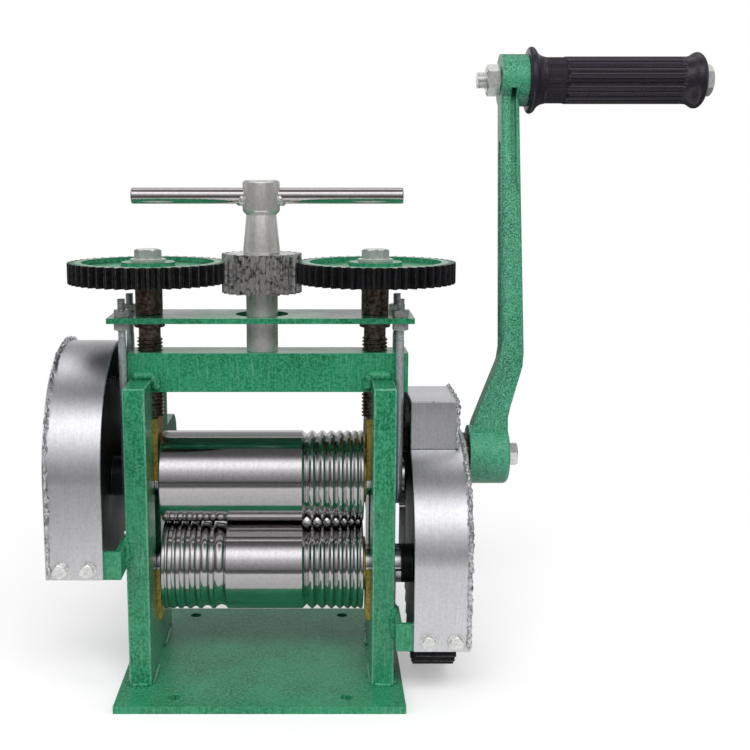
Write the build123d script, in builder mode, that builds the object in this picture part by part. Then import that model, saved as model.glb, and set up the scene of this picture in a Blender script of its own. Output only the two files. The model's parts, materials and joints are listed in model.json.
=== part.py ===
from build123d import *
from math import acos, atan2, cos, degrees, hypot, pi, radians, sin, sqrt, tan
import os

# Hand cranked rolling mill. Millimetres, +Z up, rollers along X, feed along Y.
# The origin is the centre of the rollers' plan on the underside of the base plate.

# Rollers
roller_dia = 51.0
roller_length = 112.0
roller_gap = 0.3
journal_dia = 22.0
gear_seat_dia = 18.0
lower_axis_z = 60.0
upper_axis_z = lower_axis_z + roller_dia + roller_gap
v_groove_start = 22.0
v_groove_count = 7
v_groove_first_width = 5.0
v_groove_last_width = 2.4
v_groove_first_depth = 2.3
v_groove_last_depth = 1.0
v_groove_land = 1.1
wire_groove_widths = (2.2, 2.8, 3.6, 4.2, 5.6, 7.2)
wire_groove_land = 1.7
wire_groove_depth_ratio = 0.3

# Frame
base_width = 154.0
base_front = 67.0
base_rear = 74.0
base_thick = 4.0
base_hole_dia = 6.5
base_hole_span_x = 92.0
base_hole_span_y = 118.0
upright_gap = 120.0
upright_thick = 12.0
upright_front = 41.0
upright_rear = 52.0
upright_top = 168.7
slot_width = 22.4
slot_block_top = 30.0
crossbar_bottom = 161.4
crossbar_height = 21.5
crossbar_top = crossbar_bottom + crossbar_height
crossbar_left = 73.0
crossbar_right = 80.0

# Fits
running_clearance = 0.05
seat_gap = 0.1
end_float = 0.3
end_chamfer = 1.0
cut_above = 0.5

# Bearings and washers
bearing_top = 146.0
bearing_length = 16.9
bearing_bottom = slot_block_top
washer_thick = 1.5
washer_dia = 30.0

# Drive train
drive_module = 2.5
drive_gear_teeth = 43
drive_pinion_teeth = 17
drive_face = 22.0
drive_gear_inner = 84.0
narrow_face = 20.0
pressure_angle = 20.0
tooth_backlash = 0.25
mesh_slack = 0.1
crank_axis_y = 75.0
crank_axis_z = 105.5
crank_shaft_dia = 18.0
idler_stud_dia = 12.0
bush_dia = 24.0
bush_proud = 1.0
support_reach = 22.5
support_rise = 24.0
support_round = 16.0
shoulder_wall = 3.0
ring_thick = 1.2
ring_dia = 25.0
ring_groove_dia = 16.6
seat_beyond_ring = 0.8
idler_ring_thick = 0.6

# Adjusting screws and gears
screw_gear_module = 1.75
screw_gear_teeth = 48
adjust_pinion_teeth = 23
screw_span = screw_gear_module * (screw_gear_teeth + adjust_pinion_teeth)
screw_dia = 14.0
screw_neck_dia = 12.0
screw_collar_dia = 17.0
screw_collar_thick = 4.0
screw_neck_below = 6.0
screw_shoulder_dia = 15.0
bolt_hole_depth = 12.0
bolt_reach = 11.5
gear_washer_dia = 19.2
gear_washer_thick = 1.6
bolt_head_thick = 5.3
bolt_head_chamfer = 0.6
gear_above_plate = 20.4
screw_gear_face = 11.3
screw_gear_rim_dia = 72.0
screw_gear_web_drop = 2.6
screw_gear_hub_dia = 29.5
adjust_pinion_drop = 5.4
adjust_pinion_face = 21.3

# Lift plate and stirrups
plate_gap = 17.3
plate_bottom = crossbar_top + plate_gap
plate_thick = 3.0
plate_width = 165.0
plate_depth = 42.0
plate_hole_dia = 29.0
rod_dia = 4.4
rod_hole_clearance = 0.2
rod_clearance = 0.65
rod_x = 75.15
rod_y = 14.5
rod_above_plate = 12.8
nut_across_flats = 8.0
nut_thick = 4.0

# T handle
pilot_dia = 12.0
pilot_depth = 16.0
spindle_dia = 17.3
cone_bottom_dia = 20.3
cone_top_dia = 16.4
cone_height = 20.8
head_dia = 20.3
head_height = 18.5
head_chamfer = 2.0
bar_dia = 8.6
bar_rise = 10.2
bar_left = 70.3
bar_right = 76.9

# Crank
crank_lean = 9.85
crank_radius = 234.0
hub_inner = 124.4
hub_outer = 149.0
hub_dia = 36.5
hub_round = 3.0
hub_step = 0.6
arm_inset = 4.4
arm_beyond_hub = 9.5
arm_taper = 3.1
arm_depth_top = 16.0
arm_depth_bottom = 20.0
arm_knee = 52.0
arm_neck = 27.0
recess_depth = 3.0
recess_low = 70.0
recess_high = 196.0
boss_dia = 32.0
boss_beyond_arm = 6.0
collar_dia = 27.0
end_seat_dia = 16.0
shaft_beyond_pinion = 1.0
collar_gap = 0.5
seat_short = 1.0
crank_bolt_reach = 20.0
crank_washer_dia = 18.0
crank_washer_thick = 1.0
grip_gap = 0.3
grip_length = 109.7
grip_dia = 29.0
grip_flange_dia = 41.0
grip_flange_thick = 4.0
grip_flare_dia = 34.5
grip_bolt_dia = 10.0
grip_bolt_flats = 17.0
grip_bolt_end = 130.4
grip_nut_thick = 8.4
crank_bolt_dia = 8.0
crank_bolt_flats = 13.0

# Guards
sheet = 2.0
cover_inner = 81.0
cover_outer = 111.0
left_cover_radius = 66.0
left_cover_y = 6.0
left_cover_z = 121.0
left_cover_bottom = 70.9
right_cover_radius = 60.0
right_cover_z = 76.0
right_cover_bottom = 31.5
pinion_guard_radius = 27.5
box_front = 22.0
box_rear = 24.0
box_top = 158.2
box_outer = 107.0
guard_floor = 76.0
shaft_way = 1.0
bracket_thick = 3.0
bracket_height = 15.0
cover_bolt_dia = 4.0
cover_bolt_flats = 7.0
cover_bolt_spacing = 14.2
cover_bolt_rise = 5.6
cover_washer_dia = 9.2
cover_washer_thick = 0.8
cover_head_thick = 3.0
cover_bolt_beyond = 2.0
bracket_edge = 1.5
bracket_lap = 10.0
bracket_below = 0.5
rear_bracket_height = 12.0

# Worked out from the values above
screw_gear_bottom = plate_bottom + gear_above_plate
adjust_pinion_bottom = screw_gear_bottom - adjust_pinion_drop
rod_top = plate_bottom + rod_above_plate
cone_top_z = adjust_pinion_bottom + adjust_pinion_face + cone_height
head_top_z = cone_top_z + head_height
bar_z = cone_top_z + bar_rise
arm_inner = hub_outer - arm_inset
arm_outer_bottom = hub_outer + arm_beyond_hub
arm_outer_top = arm_outer_bottom - arm_taper
boss_outer = arm_outer_top + boss_beyond_arm
grip_inner = boss_outer + grip_gap
grip_outer = grip_inner + grip_length
upright_inner = upright_gap / 2
upright_outer = upright_inner + upright_thick
roller_end = roller_length / 2
bearing_inner = roller_end + washer_thick + 2 * seat_gap
bearing_outer = bearing_inner + bearing_length
journal_end = rod_x + rod_dia / 2 + rod_clearance
gear_seat_end = drive_gear_inner + drive_face + ring_thick + seat_beyond_ring
support_rear = crank_axis_y + support_reach
journal_hole = journal_dia / 2 + running_clearance
shaft_hole = crank_shaft_dia / 2 + running_clearance
crank_spot = (crank_axis_y, crank_axis_z)
upper_spot = (0, upper_axis_z)
lower_spot = (0, lower_axis_z)

os.makedirs("parts", exist_ok=True)


def save(builder, node):
    builder.part.label = node
    export_step(builder.part, f"parts/{node}.step")


def x_bar(x_low, x_high, radius, spot, mode=Mode.ADD):
    """A round bar along X, its axis through spot = (y, z)."""
    with BuildSketch(Plane.YZ.offset(x_low)) as disc:
        with Locations(spot):
            Circle(radius)
    extrude(disc.sketch, amount=x_high - x_low, mode=mode)


def z_bar(z_low, z_high, radius, spot, mode=Mode.ADD):
    """A round bar along Z, its axis through spot = (x, y)."""
    with BuildSketch(Plane.XY.offset(z_low)) as disc:
        with Locations(spot):
            Circle(radius)
    extrude(disc.sketch, amount=z_high - z_low, mode=mode)


def y_bar(y_low, y_high, radius, spot, mode=Mode.ADD):
    """A round bar along Y, its axis through spot = (x, z)."""
    with BuildSketch(Plane.XZ.offset(-y_low)) as disc:
        with Locations(spot):
            Circle(radius)
    extrude(disc.sketch, amount=y_low - y_high, mode=mode)


def block(x_range, y_range, z_range, mode=Mode.ADD):
    low = [r[0] for r in (x_range, y_range, z_range)]
    size = [r[1] - r[0] for r in (x_range, y_range, z_range)]
    with Locations(tuple(low)):
        Box(*size, align=(Align.MIN, Align.MIN, Align.MIN), mode=mode)


def mirrored(sign, low, high):
    """A range along X on the right hand side, or its mirror image on the left."""
    return (low, high) if sign > 0 else (-high, -low)


def involute(angle):
    return tan(angle) - angle


def gear_outline(module, teeth, first_tooth):
    """Corner points of a spur gear whose first tooth points at first_tooth degrees."""
    pitch = module * teeth / 2
    base = pitch * cos(radians(pressure_angle))
    root = pitch - 1.25 * module
    tip = pitch + module
    half_pitch = (pi * module / 2 - tooth_backlash) / (2 * pitch)
    start = max(root, base)
    flank_radii = [start + (tip - start) * share for share in (0, 0.35, 0.7, 1)]
    if root < base:
        flank_radii.insert(0, root)
    flank = []
    for radius in flank_radii:
        roll = acos(min(1, base / radius))
        flank.append((radius, half_pitch + involute(radians(pressure_angle)) - involute(roll)))
    points = []
    for tooth in range(teeth):
        middle = radians(first_tooth) + 2 * pi * tooth / teeth
        rising = [(radius, middle - half) for radius, half in flank]
        falling = [(radius, middle + half) for radius, half in reversed(flank)]
        points += [(r * cos(a), r * sin(a)) for r, a in rising + falling]
    return points


def meshed_tooth(driver_teeth, driver_tooth, teeth, line_angle):
    """Where a gear's first tooth points, to mesh with a driver that lies on the other
    end of a line of centres, which leaves the driver at line_angle degrees."""
    lag = (180 - driver_teeth * (driver_tooth - line_angle)) / teeth
    return line_angle + 180 + lag


def gear_face(module, teeth, first_tooth, plane, spot):
    corners = [(spot[0] + u, spot[1] + v) for u, v in gear_outline(module, teeth, first_tooth)]
    with BuildSketch(plane) as face:
        with BuildLine():
            Polyline(*corners, close=True)
        make_face()
    return face.sketch.faces()[0]


def hexagon_x(x_low, x_high, flats, spot, turn=0):
    with BuildSketch(Plane.YZ.offset(x_low)) as hexagon:
        with Locations(spot):
            RegularPolygon(flats / 2, 6, major_radius=False, rotation=turn)
    extrude(hexagon.sketch, amount=x_high - x_low)


# The idler stands where it meshes with the crank's pinion and the lower roller's gear
pinion_pitch = drive_module * drive_pinion_teeth / 2
gear_pitch = drive_module * drive_gear_teeth / 2
idler_to_gear = gear_pitch + pinion_pitch + mesh_slack
idler_to_crank = 2 * pinion_pitch + mesh_slack
reach_y = crank_axis_y
reach_z = crank_axis_z - lower_axis_z
reach = hypot(reach_y, reach_z)
along = (idler_to_gear**2 - idler_to_crank**2 + reach**2) / (2 * reach)
aside = sqrt(idler_to_gear**2 - along**2)
idler_spot = (
    (along * reach_y - aside * reach_z) / reach,
    lower_axis_z + (along * reach_z + aside * reach_y) / reach,
)

# Angles of the first teeth, from +Y towards +Z
crank_tooth = 90.0
crank_to_upper = degrees(atan2(upper_axis_z - crank_axis_z, -crank_axis_y))
upper_gear_tooth = meshed_tooth(
    drive_pinion_teeth, crank_tooth, drive_gear_teeth, crank_to_upper
)
crank_to_idler = degrees(atan2(idler_spot[1] - crank_axis_z, idler_spot[0] - crank_axis_y))
idler_tooth = meshed_tooth(drive_pinion_teeth, crank_tooth, drive_pinion_teeth, crank_to_idler)
idler_to_lower = degrees(atan2(lower_axis_z - idler_spot[1], -idler_spot[0]))
lower_gear_tooth = meshed_tooth(
    drive_pinion_teeth, idler_tooth, drive_gear_teeth, idler_to_lower
)

# ---- Base and frame
hole_mid_y = (base_rear - base_front) / 2
with BuildPart() as base_plate:
    block((-base_width / 2, base_width / 2), (-base_front, base_rear), (0, base_thick))
    with Locations((0, hole_mid_y, base_thick)):
        with GridLocations(base_hole_span_x, base_hole_span_y, 2, 2):
            Hole(base_hole_dia / 2, base_thick)
save(base_plate, "base_plate")

for side, sign in (("left", -1), ("right", 1)):
    across = mirrored(sign, upright_inner, upright_outer)
    with BuildPart() as front_upright:
        block(across, (-upright_front, -slot_width / 2), (base_thick, upright_top))
    save(front_upright, f"{side}_front_upright")

    with BuildPart() as rear_upright:
        block(across, (slot_width / 2, upright_rear), (base_thick, upright_top))
        if sign > 0:
            x_bar(*across, idler_stud_dia / 2, idler_spot, Mode.SUBTRACT)
    save(rear_upright, f"{side}_rear_upright")

    with BuildPart() as slot_block:
        block(across, (-slot_width / 2, slot_width / 2), (base_thick, slot_block_top))
    save(slot_block, f"{side}_slot_block")

    with BuildPart() as shaft_support:
        block(across, (upright_rear, support_rear), (guard_floor, crank_axis_z + support_rise))
        top_edges = shaft_support.edges().filter_by(Axis.X).group_by(Axis.Z)[-1]
        fillet(top_edges.sort_by(Axis.Y)[-1], support_round)
        x_bar(*across, bush_dia / 2, crank_spot, Mode.SUBTRACT)
    save(shaft_support, f"{side}_shaft_support")

    with BuildPart() as lower_bearing:
        block(
            mirrored(sign, bearing_inner, bearing_outer),
            (-slot_width / 2 + running_clearance, slot_width / 2 - running_clearance),
            (bearing_bottom, lower_axis_z),
        )
        x_bar(-bearing_outer, bearing_outer, journal_hole, lower_spot, Mode.SUBTRACT)
    save(lower_bearing, f"{side}_lower_bearing")

    with BuildPart() as upper_bearing:
        block(
            mirrored(sign, bearing_inner, bearing_outer),
            (-slot_width / 2 + running_clearance, slot_width / 2 - running_clearance),
            (upper_axis_z, bearing_top),
        )
        x_bar(-bearing_outer, bearing_outer, journal_hole, upper_spot, Mode.SUBTRACT)
    save(upper_bearing, f"{side}_upper_bearing")

with BuildPart() as crossbar:
    block(
        (-crossbar_left, crossbar_right),
        (-slot_width / 2, slot_width / 2),
        (crossbar_bottom, crossbar_top),
    )
    for x in (-screw_span / 2, screw_span / 2):
        z_bar(crossbar_bottom, crossbar_top, screw_dia / 2 + running_clearance, (x, 0), Mode.SUBTRACT)
    z_bar(
        crossbar_top - pilot_depth - seat_gap,
        crossbar_top,
        pilot_dia / 2 + running_clearance,
        (0, 0),
        Mode.SUBTRACT,
    )
save(crossbar, "crossbar")

with BuildPart() as shaft_bushes:
    for sign in (-1, 1):
        span = mirrored(sign, upright_inner - bush_proud, upright_outer + bush_proud)
        x_bar(*span, bush_dia / 2, crank_spot)
    x_bar(-cover_outer, cover_outer, shaft_hole, crank_spot, Mode.SUBTRACT)
save(shaft_bushes, "shaft_bushes")

idler_end = drive_gear_inner + narrow_face
with BuildPart() as idler_stud:
    x_bar(upright_inner, idler_end + seat_beyond_ring, idler_stud_dia / 2, idler_spot)
    x_bar(
        upright_outer,
        drive_gear_inner - seat_gap,
        idler_stud_dia / 2 + shoulder_wall,
        idler_spot,
    )
save(idler_stud, "idler_stud")

# ---- Rollers
v_steps = []
groove_x = v_groove_start
for index in range(v_groove_count):
    share = index / (v_groove_count - 1)
    width = v_groove_first_width + share * (v_groove_last_width - v_groove_first_width)
    depth = v_groove_first_depth + share * (v_groove_last_depth - v_groove_first_depth)
    v_steps.append((groove_x, groove_x + width, depth))
    groove_x += width + v_groove_land


def roller(axis_z, gear_sign, with_wire_grooves):
    """A roller turned about X, its gear seat on the gear_sign side."""
    radius = roller_dia / 2
    axis = Axis((0, 0, axis_z), (1, 0, 0))
    hung_in_stirrup = 0 if with_wire_grooves else rod_dia + end_float
    plain_end = -gear_sign * (bearing_outer + hung_in_stirrup)
    with BuildPart() as turned:
        x_bar(-roller_end, roller_end, radius, (0, axis_z))
        ends = mirrored(gear_sign, roller_end, journal_end)
        x_bar(*ends, journal_dia / 2, (0, axis_z))
        x_bar(min(plain_end, 0), max(plain_end, 0), journal_dia / 2, (0, axis_z))
        seat = mirrored(gear_sign, journal_end, gear_seat_end)
        x_bar(*seat, gear_seat_dia / 2, (0, axis_z))
        seat_end = turned.edges().filter_by(GeomType.CIRCLE).group_by(Axis.X)[0 if gear_sign < 0 else -1]
        chamfer(seat_end, end_chamfer)
        for low, high, depth in v_steps:
            with BuildSketch(Plane.XZ) as notch:
                with BuildLine():
                    Polyline(
                        (low, axis_z + radius + cut_above),
                        (low, axis_z + radius),
                        ((low + high) / 2, axis_z + radius - depth),
                        (high, axis_z + radius),
                        (high, axis_z + radius + cut_above),
                        close=True,
                    )
                make_face()
            revolve(notch.sketch, axis=axis, mode=Mode.SUBTRACT)
        if with_wire_grooves:
            start = -roller_end + wire_groove_land
            for width in wire_groove_widths:
                depth = wire_groove_depth_ratio * width
                rise = (width**2 / 4 - depth**2) / (2 * depth)
                with BuildSketch(Plane.XZ) as channel:
                    with Locations((start + width / 2, axis_z + radius + rise)):
                        Circle(depth + rise)
                revolve(channel.sketch, axis=axis, mode=Mode.SUBTRACT)
                start += width + wire_groove_land
        ring_low = drive_gear_inner + drive_face
        ring = mirrored(gear_sign, ring_low, ring_low + ring_thick)
        x_bar(*ring, gear_seat_dia / 2, (0, axis_z), Mode.SUBTRACT)
        x_bar(*ring, ring_groove_dia / 2, (0, axis_z))
    return turned


def drive_gear(spot, sign, first_tooth):
    """A roller's gear with its boss, on the side given by sign."""
    with BuildPart() as gear:
        face = gear_face(
            drive_module,
            drive_gear_teeth,
            first_tooth,
            Plane.YZ.offset(mirrored(sign, drive_gear_inner, drive_gear_inner + drive_face)[0]),
            spot,
        )
        extrude(face, amount=drive_face)
        boss = mirrored(sign, journal_end + running_clearance, drive_gear_inner)
        x_bar(*boss, journal_dia / 2, spot)
        x_bar(-cover_outer, cover_outer, gear_seat_dia / 2, spot, Mode.SUBTRACT)
    return gear


def retaining_ring(x_range, outside, inside, spot):
    with BuildPart() as ring:
        x_bar(*x_range, outside / 2, spot)
        x_bar(*x_range, inside / 2, spot, Mode.SUBTRACT)
        y, z = spot
        block(x_range, (y - inside / 4, y + inside / 4), (z - outside / 2, z), Mode.SUBTRACT)
    return ring


for name, spot, sign, tooth in (
    ("upper", upper_spot, -1, upper_gear_tooth),
    ("lower", lower_spot, 1, lower_gear_tooth),
):
    side = "left" if sign < 0 else "right"
    turned = roller(spot[1], sign, name == "lower")
    save(turned, f"{name}_roller")
    wheel = drive_gear(spot, sign, tooth)
    save(wheel, f"{side}_drive_gear")
    ring_low = drive_gear_inner + drive_face
    ring = retaining_ring(
        mirrored(sign, ring_low, ring_low + ring_thick), ring_dia, ring_groove_dia, spot
    )
    save(ring, f"{side}_gear_ring")

    with BuildPart() as thrust_washers:
        for washer_sign in (-1, 1):
            span = mirrored(washer_sign, roller_end + seat_gap, roller_end + seat_gap + washer_thick)
            x_bar(*span, washer_dia / 2, spot)
            x_bar(*span, journal_hole, spot, Mode.SUBTRACT)
    save(thrust_washers, f"{name}_thrust_washers")

# ---- Lift plate and the stirrups that hang the upper roller from it
with BuildPart() as lift_plate:
    with Locations((0, 0, plate_bottom)):
        Box(plate_width, plate_depth, plate_thick, align=(Align.CENTER, Align.CENTER, Align.MIN))
    top = plate_bottom + plate_thick
    z_bar(plate_bottom, top, plate_hole_dia / 2, (0, 0), Mode.SUBTRACT)
    for sign in (-1, 1):
        hole = screw_neck_dia / 2 + running_clearance
        z_bar(plate_bottom, top, hole, (sign * screw_span / 2, 0), Mode.SUBTRACT)
        for y in (-rod_y, rod_y):
            hole = rod_dia / 2 + rod_hole_clearance / 2
            z_bar(plate_bottom, top, hole, (sign * rod_x, y), Mode.SUBTRACT)
save(lift_plate, "lift_plate")

stirrup_turn_z = upper_axis_z - journal_dia / 2 - running_clearance - rod_dia / 2 + rod_y
for side, sign in (("left", -1), ("right", 1)):
    x = sign * rod_x
    with BuildPart() as stirrup:
        with BuildLine() as bend:
            Line((x, -rod_y, rod_top), (x, -rod_y, stirrup_turn_z))
            ThreePointArc(
                (x, -rod_y, stirrup_turn_z),
                (x, 0, stirrup_turn_z - rod_y),
                (x, rod_y, stirrup_turn_z),
            )
            Line((x, rod_y, stirrup_turn_z), (x, rod_y, rod_top))
        with BuildSketch(Plane((x, -rod_y, rod_top), z_dir=(0, 0, -1))) as section:
            Circle(rod_dia / 2)
        sweep()
    save(stirrup, f"{side}_lift_stirrup")

with BuildPart() as rod_nuts:
    nut_levels = (
        plate_bottom - nut_thick,
        plate_bottom + plate_thick,
    )
    for x in (-rod_x, rod_x):
        for y in (-rod_y, rod_y):
            for level in nut_levels:
                with BuildSketch(Plane.XY.offset(level)) as nut:
                    with Locations((x, y)):
                        RegularPolygon(nut_across_flats / 2, 6, major_radius=False)
                        Circle(rod_dia / 2, mode=Mode.SUBTRACT)
                extrude(amount=nut_thick)
save(rod_nuts, "lift_rod_nuts")

# ---- Pressure screws and their gears
plate_top = plate_bottom + plate_thick
neck_bottom = plate_bottom - screw_collar_thick - screw_neck_below
gear_top = screw_gear_bottom + screw_gear_face
washer_top = gear_top + gear_washer_thick
for side, sign in (("left", -1), ("right", 1)):
    spot = (sign * screw_span / 2, 0)
    with BuildPart() as screw:
        z_bar(bearing_top + running_clearance, neck_bottom, screw_dia / 2, spot)
        z_bar(neck_bottom, plate_bottom, screw_neck_dia / 2, spot)
        z_bar(
            plate_bottom - screw_collar_thick - running_clearance,
            plate_bottom - running_clearance,
            screw_collar_dia / 2,
            spot,
        )
        z_bar(plate_bottom - running_clearance, gear_top, screw_neck_dia / 2, spot)
        z_bar(plate_top + running_clearance, screw_gear_bottom, screw_shoulder_dia / 2, spot)
        z_bar(gear_top - bolt_hole_depth, gear_top, crank_bolt_dia / 2, spot, Mode.SUBTRACT)
    save(screw, f"{side}_pressure_screw")

    with BuildPart() as screw_gear:
        line = 0 if sign > 0 else 180
        tooth = meshed_tooth(adjust_pinion_teeth, 0, screw_gear_teeth, line)
        face = gear_face(
            screw_gear_module, screw_gear_teeth, tooth, Plane.XY.offset(screw_gear_bottom), spot
        )
        extrude(face, amount=screw_gear_face)
        web_top = gear_top - screw_gear_web_drop
        z_bar(web_top, gear_top, screw_gear_rim_dia / 2, spot, Mode.SUBTRACT)
        z_bar(web_top, gear_top, screw_gear_hub_dia / 2, spot)
        z_bar(screw_gear_bottom, gear_top, screw_neck_dia / 2, spot, Mode.SUBTRACT)
    save(screw_gear, f"{side}_screw_gear")

    with BuildPart() as gear_washer:
        z_bar(gear_top, washer_top, gear_washer_dia / 2, spot)
        z_bar(gear_top, washer_top, crank_bolt_dia / 2, spot, Mode.SUBTRACT)
    save(gear_washer, f"{side}_gear_washer")

    with BuildPart() as gear_bolt:
        z_bar(gear_top - bolt_reach, washer_top, crank_bolt_dia / 2, spot)
        with BuildSketch(Plane.XY.offset(washer_top)) as bolt_head:
            with Locations(spot):
                RegularPolygon(crank_bolt_flats / 2, 6, major_radius=False, rotation=30)
        extrude(amount=bolt_head_thick)
        chamfer(gear_bolt.faces().sort_by(Axis.Z)[-1].edges(), bolt_head_chamfer)
    save(gear_bolt, f"{side}_gear_bolt")

# ---- T handle
pinion_top = adjust_pinion_bottom + adjust_pinion_face
with BuildPart() as spindle:
    z_bar(crossbar_top - pilot_depth, crossbar_top + seat_gap, pilot_dia / 2, (0, 0))
    z_bar(crossbar_top + seat_gap, pinion_top, spindle_dia / 2, (0, 0))
    with BuildSketch(Plane.XZ) as half:
        with BuildLine():
            Polyline(
                (0, pinion_top),
                (cone_bottom_dia / 2, pinion_top),
                (cone_top_dia / 2, cone_top_z),
                (head_dia / 2 - head_chamfer, cone_top_z),
                (head_dia / 2, cone_top_z + head_chamfer),
                (head_dia / 2, head_top_z - end_chamfer),
                (head_dia / 2 - end_chamfer, head_top_z),
                (0, head_top_z),
                close=True,
            )
        make_face()
    revolve(axis=Axis.Z)
    x_bar(-head_dia, head_dia, bar_dia / 2, (0, bar_z), Mode.SUBTRACT)
save(spindle, "adjusting_spindle")

with BuildPart() as t_bar:
    x_bar(-bar_left, bar_right, bar_dia / 2, (0, bar_z))
    chamfer(t_bar.edges().filter_by(GeomType.CIRCLE), end_chamfer)
save(t_bar, "t_bar")

with BuildPart() as adjust_pinion:
    face = gear_face(
        screw_gear_module, adjust_pinion_teeth, 0, Plane.XY.offset(adjust_pinion_bottom), (0, 0)
    )
    extrude(face, amount=adjust_pinion_face)
    z_bar(adjust_pinion_bottom, pinion_top, spindle_dia / 2, (0, 0), Mode.SUBTRACT)
save(adjust_pinion, "adjusting_pinion")

# ---- Crank shaft, pinions and idler
shaft_left = -(drive_gear_inner + drive_face + shaft_beyond_pinion)
collar_inner = box_outer + collar_gap
seat_outer = hub_outer - seat_short
with BuildPart() as crank_shaft:
    x_bar(shaft_left, hub_inner, crank_shaft_dia / 2, crank_spot)
    x_bar(collar_inner, hub_inner, collar_dia / 2, crank_spot)
    x_bar(hub_inner, seat_outer, end_seat_dia / 2, crank_spot)
    x_bar(seat_outer - crank_bolt_reach, seat_outer, crank_bolt_dia / 2, crank_spot, Mode.SUBTRACT)
save(crank_shaft, "crank_shaft")

for side, sign, face_width in (("left", -1, drive_face), ("right", 1, narrow_face)):
    with BuildPart() as pinion:
        low = mirrored(sign, drive_gear_inner, drive_gear_inner + face_width)[0]
        face = gear_face(
            drive_module, drive_pinion_teeth, crank_tooth, Plane.YZ.offset(low), crank_spot
        )
        extrude(face, amount=face_width)
        x_bar(-cover_outer, cover_outer, crank_shaft_dia / 2, crank_spot, Mode.SUBTRACT)
    save(pinion, f"{side}_crank_pinion")

with BuildPart() as idler:
    face = gear_face(
        drive_module, drive_pinion_teeth, idler_tooth, Plane.YZ.offset(drive_gear_inner), idler_spot
    )
    extrude(face, amount=narrow_face)
    x_bar(drive_gear_inner, idler_end, idler_stud_dia / 2 + running_clearance, idler_spot, Mode.SUBTRACT)
save(idler, "idler_gear")

# ---- Crank arm, built upright in the plane of the crank and leaned back
crank_plane = Plane(
    (0, crank_axis_y, crank_axis_z),
    x_dir=(1, 0, 0),
    z_dir=(0, -cos(radians(crank_lean)), sin(radians(crank_lean))),
)
grip_plane = Plane(
    crank_plane.from_local_coords((0, crank_radius, 0)), x_dir=(0, 1, 0), z_dir=(1, 0, 0)
)
grip_spot = (grip_plane.origin.Y, grip_plane.origin.Z)

with BuildPart() as crank_arm:
    with BuildSketch(crank_plane.offset(-arm_depth_bottom / 2)) as side_view:
        with BuildLine():
            Polyline(
                (hub_inner + 1.4, arm_neck - 14),
                (hub_inner + 3.4, arm_neck - 6),
                (arm_inner - 1, arm_knee + 8),
                (arm_inner, arm_knee + 14),
                (arm_inner, crank_radius),
                (arm_outer_top, crank_radius),
                (arm_outer_bottom, arm_knee + 12),
                (arm_outer_bottom - 1, arm_knee + 3),
                (hub_outer + 1, arm_neck + 3),
                (hub_outer - hub_step, arm_neck - 4),
                (hub_outer - hub_step, -hub_dia / 4),
                (hub_inner + 1.4, -hub_dia / 4),
                close=True,
            )
        make_face()
    extrude(amount=arm_depth_bottom)
    with BuildSketch(Plane(crank_plane.origin, x_dir=-crank_plane.z_dir, z_dir=(1, 0, 0))) as taper:
        with BuildLine():
            Polyline(
                (-arm_depth_bottom, -hub_dia),
                (-arm_depth_bottom, arm_neck),
                (-arm_depth_top / 2, crank_radius + hub_dia),
                (arm_depth_top / 2, crank_radius + hub_dia),
                (arm_depth_bottom, arm_neck),
                (arm_depth_bottom, -hub_dia),
                close=True,
            )
        make_face()
    extrude(amount=boss_outer + 20, mode=Mode.INTERSECT)
    fillet(crank_arm.edges().filter_by(lambda edge: edge.length > crank_radius / 2), 2.5)
    recess_width = arm_depth_top - 7
    with BuildSketch(
        Plane(
            crank_plane.from_local_coords((arm_inner, (recess_low + recess_high) / 2, 0)),
            x_dir=-crank_plane.z_dir,
            z_dir=(1, 0, 0),
        )
    ) as recess:
        SlotOverall(recess_high - recess_low, recess_width, rotation=90)
    extrude(amount=recess_depth, mode=Mode.SUBTRACT)
    with BuildSketch(Plane((0, *crank_spot), x_dir=(1, 0, 0), z_dir=(0, -1, 0))) as hub_half:
        with BuildLine():
            Line((hub_inner, 0), (hub_inner, hub_dia / 2))
            Line((hub_inner, hub_dia / 2), (hub_outer - hub_round, hub_dia / 2))
            RadiusArc(
                (hub_outer - hub_round, hub_dia / 2), (hub_outer, hub_dia / 2 - hub_round), hub_round
            )
            Line((hub_outer, hub_dia / 2 - hub_round), (hub_outer, 0))
            Line((hub_outer, 0), (hub_inner, 0))
        make_face()
    revolve(hub_half.sketch, axis=Axis((0, *crank_spot), (1, 0, 0)))
    x_bar(arm_inner, boss_outer, boss_dia / 2, grip_spot)
    x_bar(hub_inner, hub_outer, end_seat_dia / 2, crank_spot, Mode.SUBTRACT)
    x_bar(arm_inner, boss_outer, grip_bolt_dia / 2, grip_spot, Mode.SUBTRACT)
save(crank_arm, "crank_arm")

with BuildPart() as crank_bolt:
    head_inner = hub_outer + crank_washer_thick
    x_bar(hub_outer - crank_bolt_reach, hub_outer, crank_bolt_dia / 2, crank_spot)
    x_bar(hub_outer, head_inner, crank_washer_dia / 2, crank_spot)
    hexagon_x(head_inner, head_inner + bolt_head_thick, crank_bolt_flats, crank_spot, 10)
save(crank_bolt, "crank_bolt")

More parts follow.
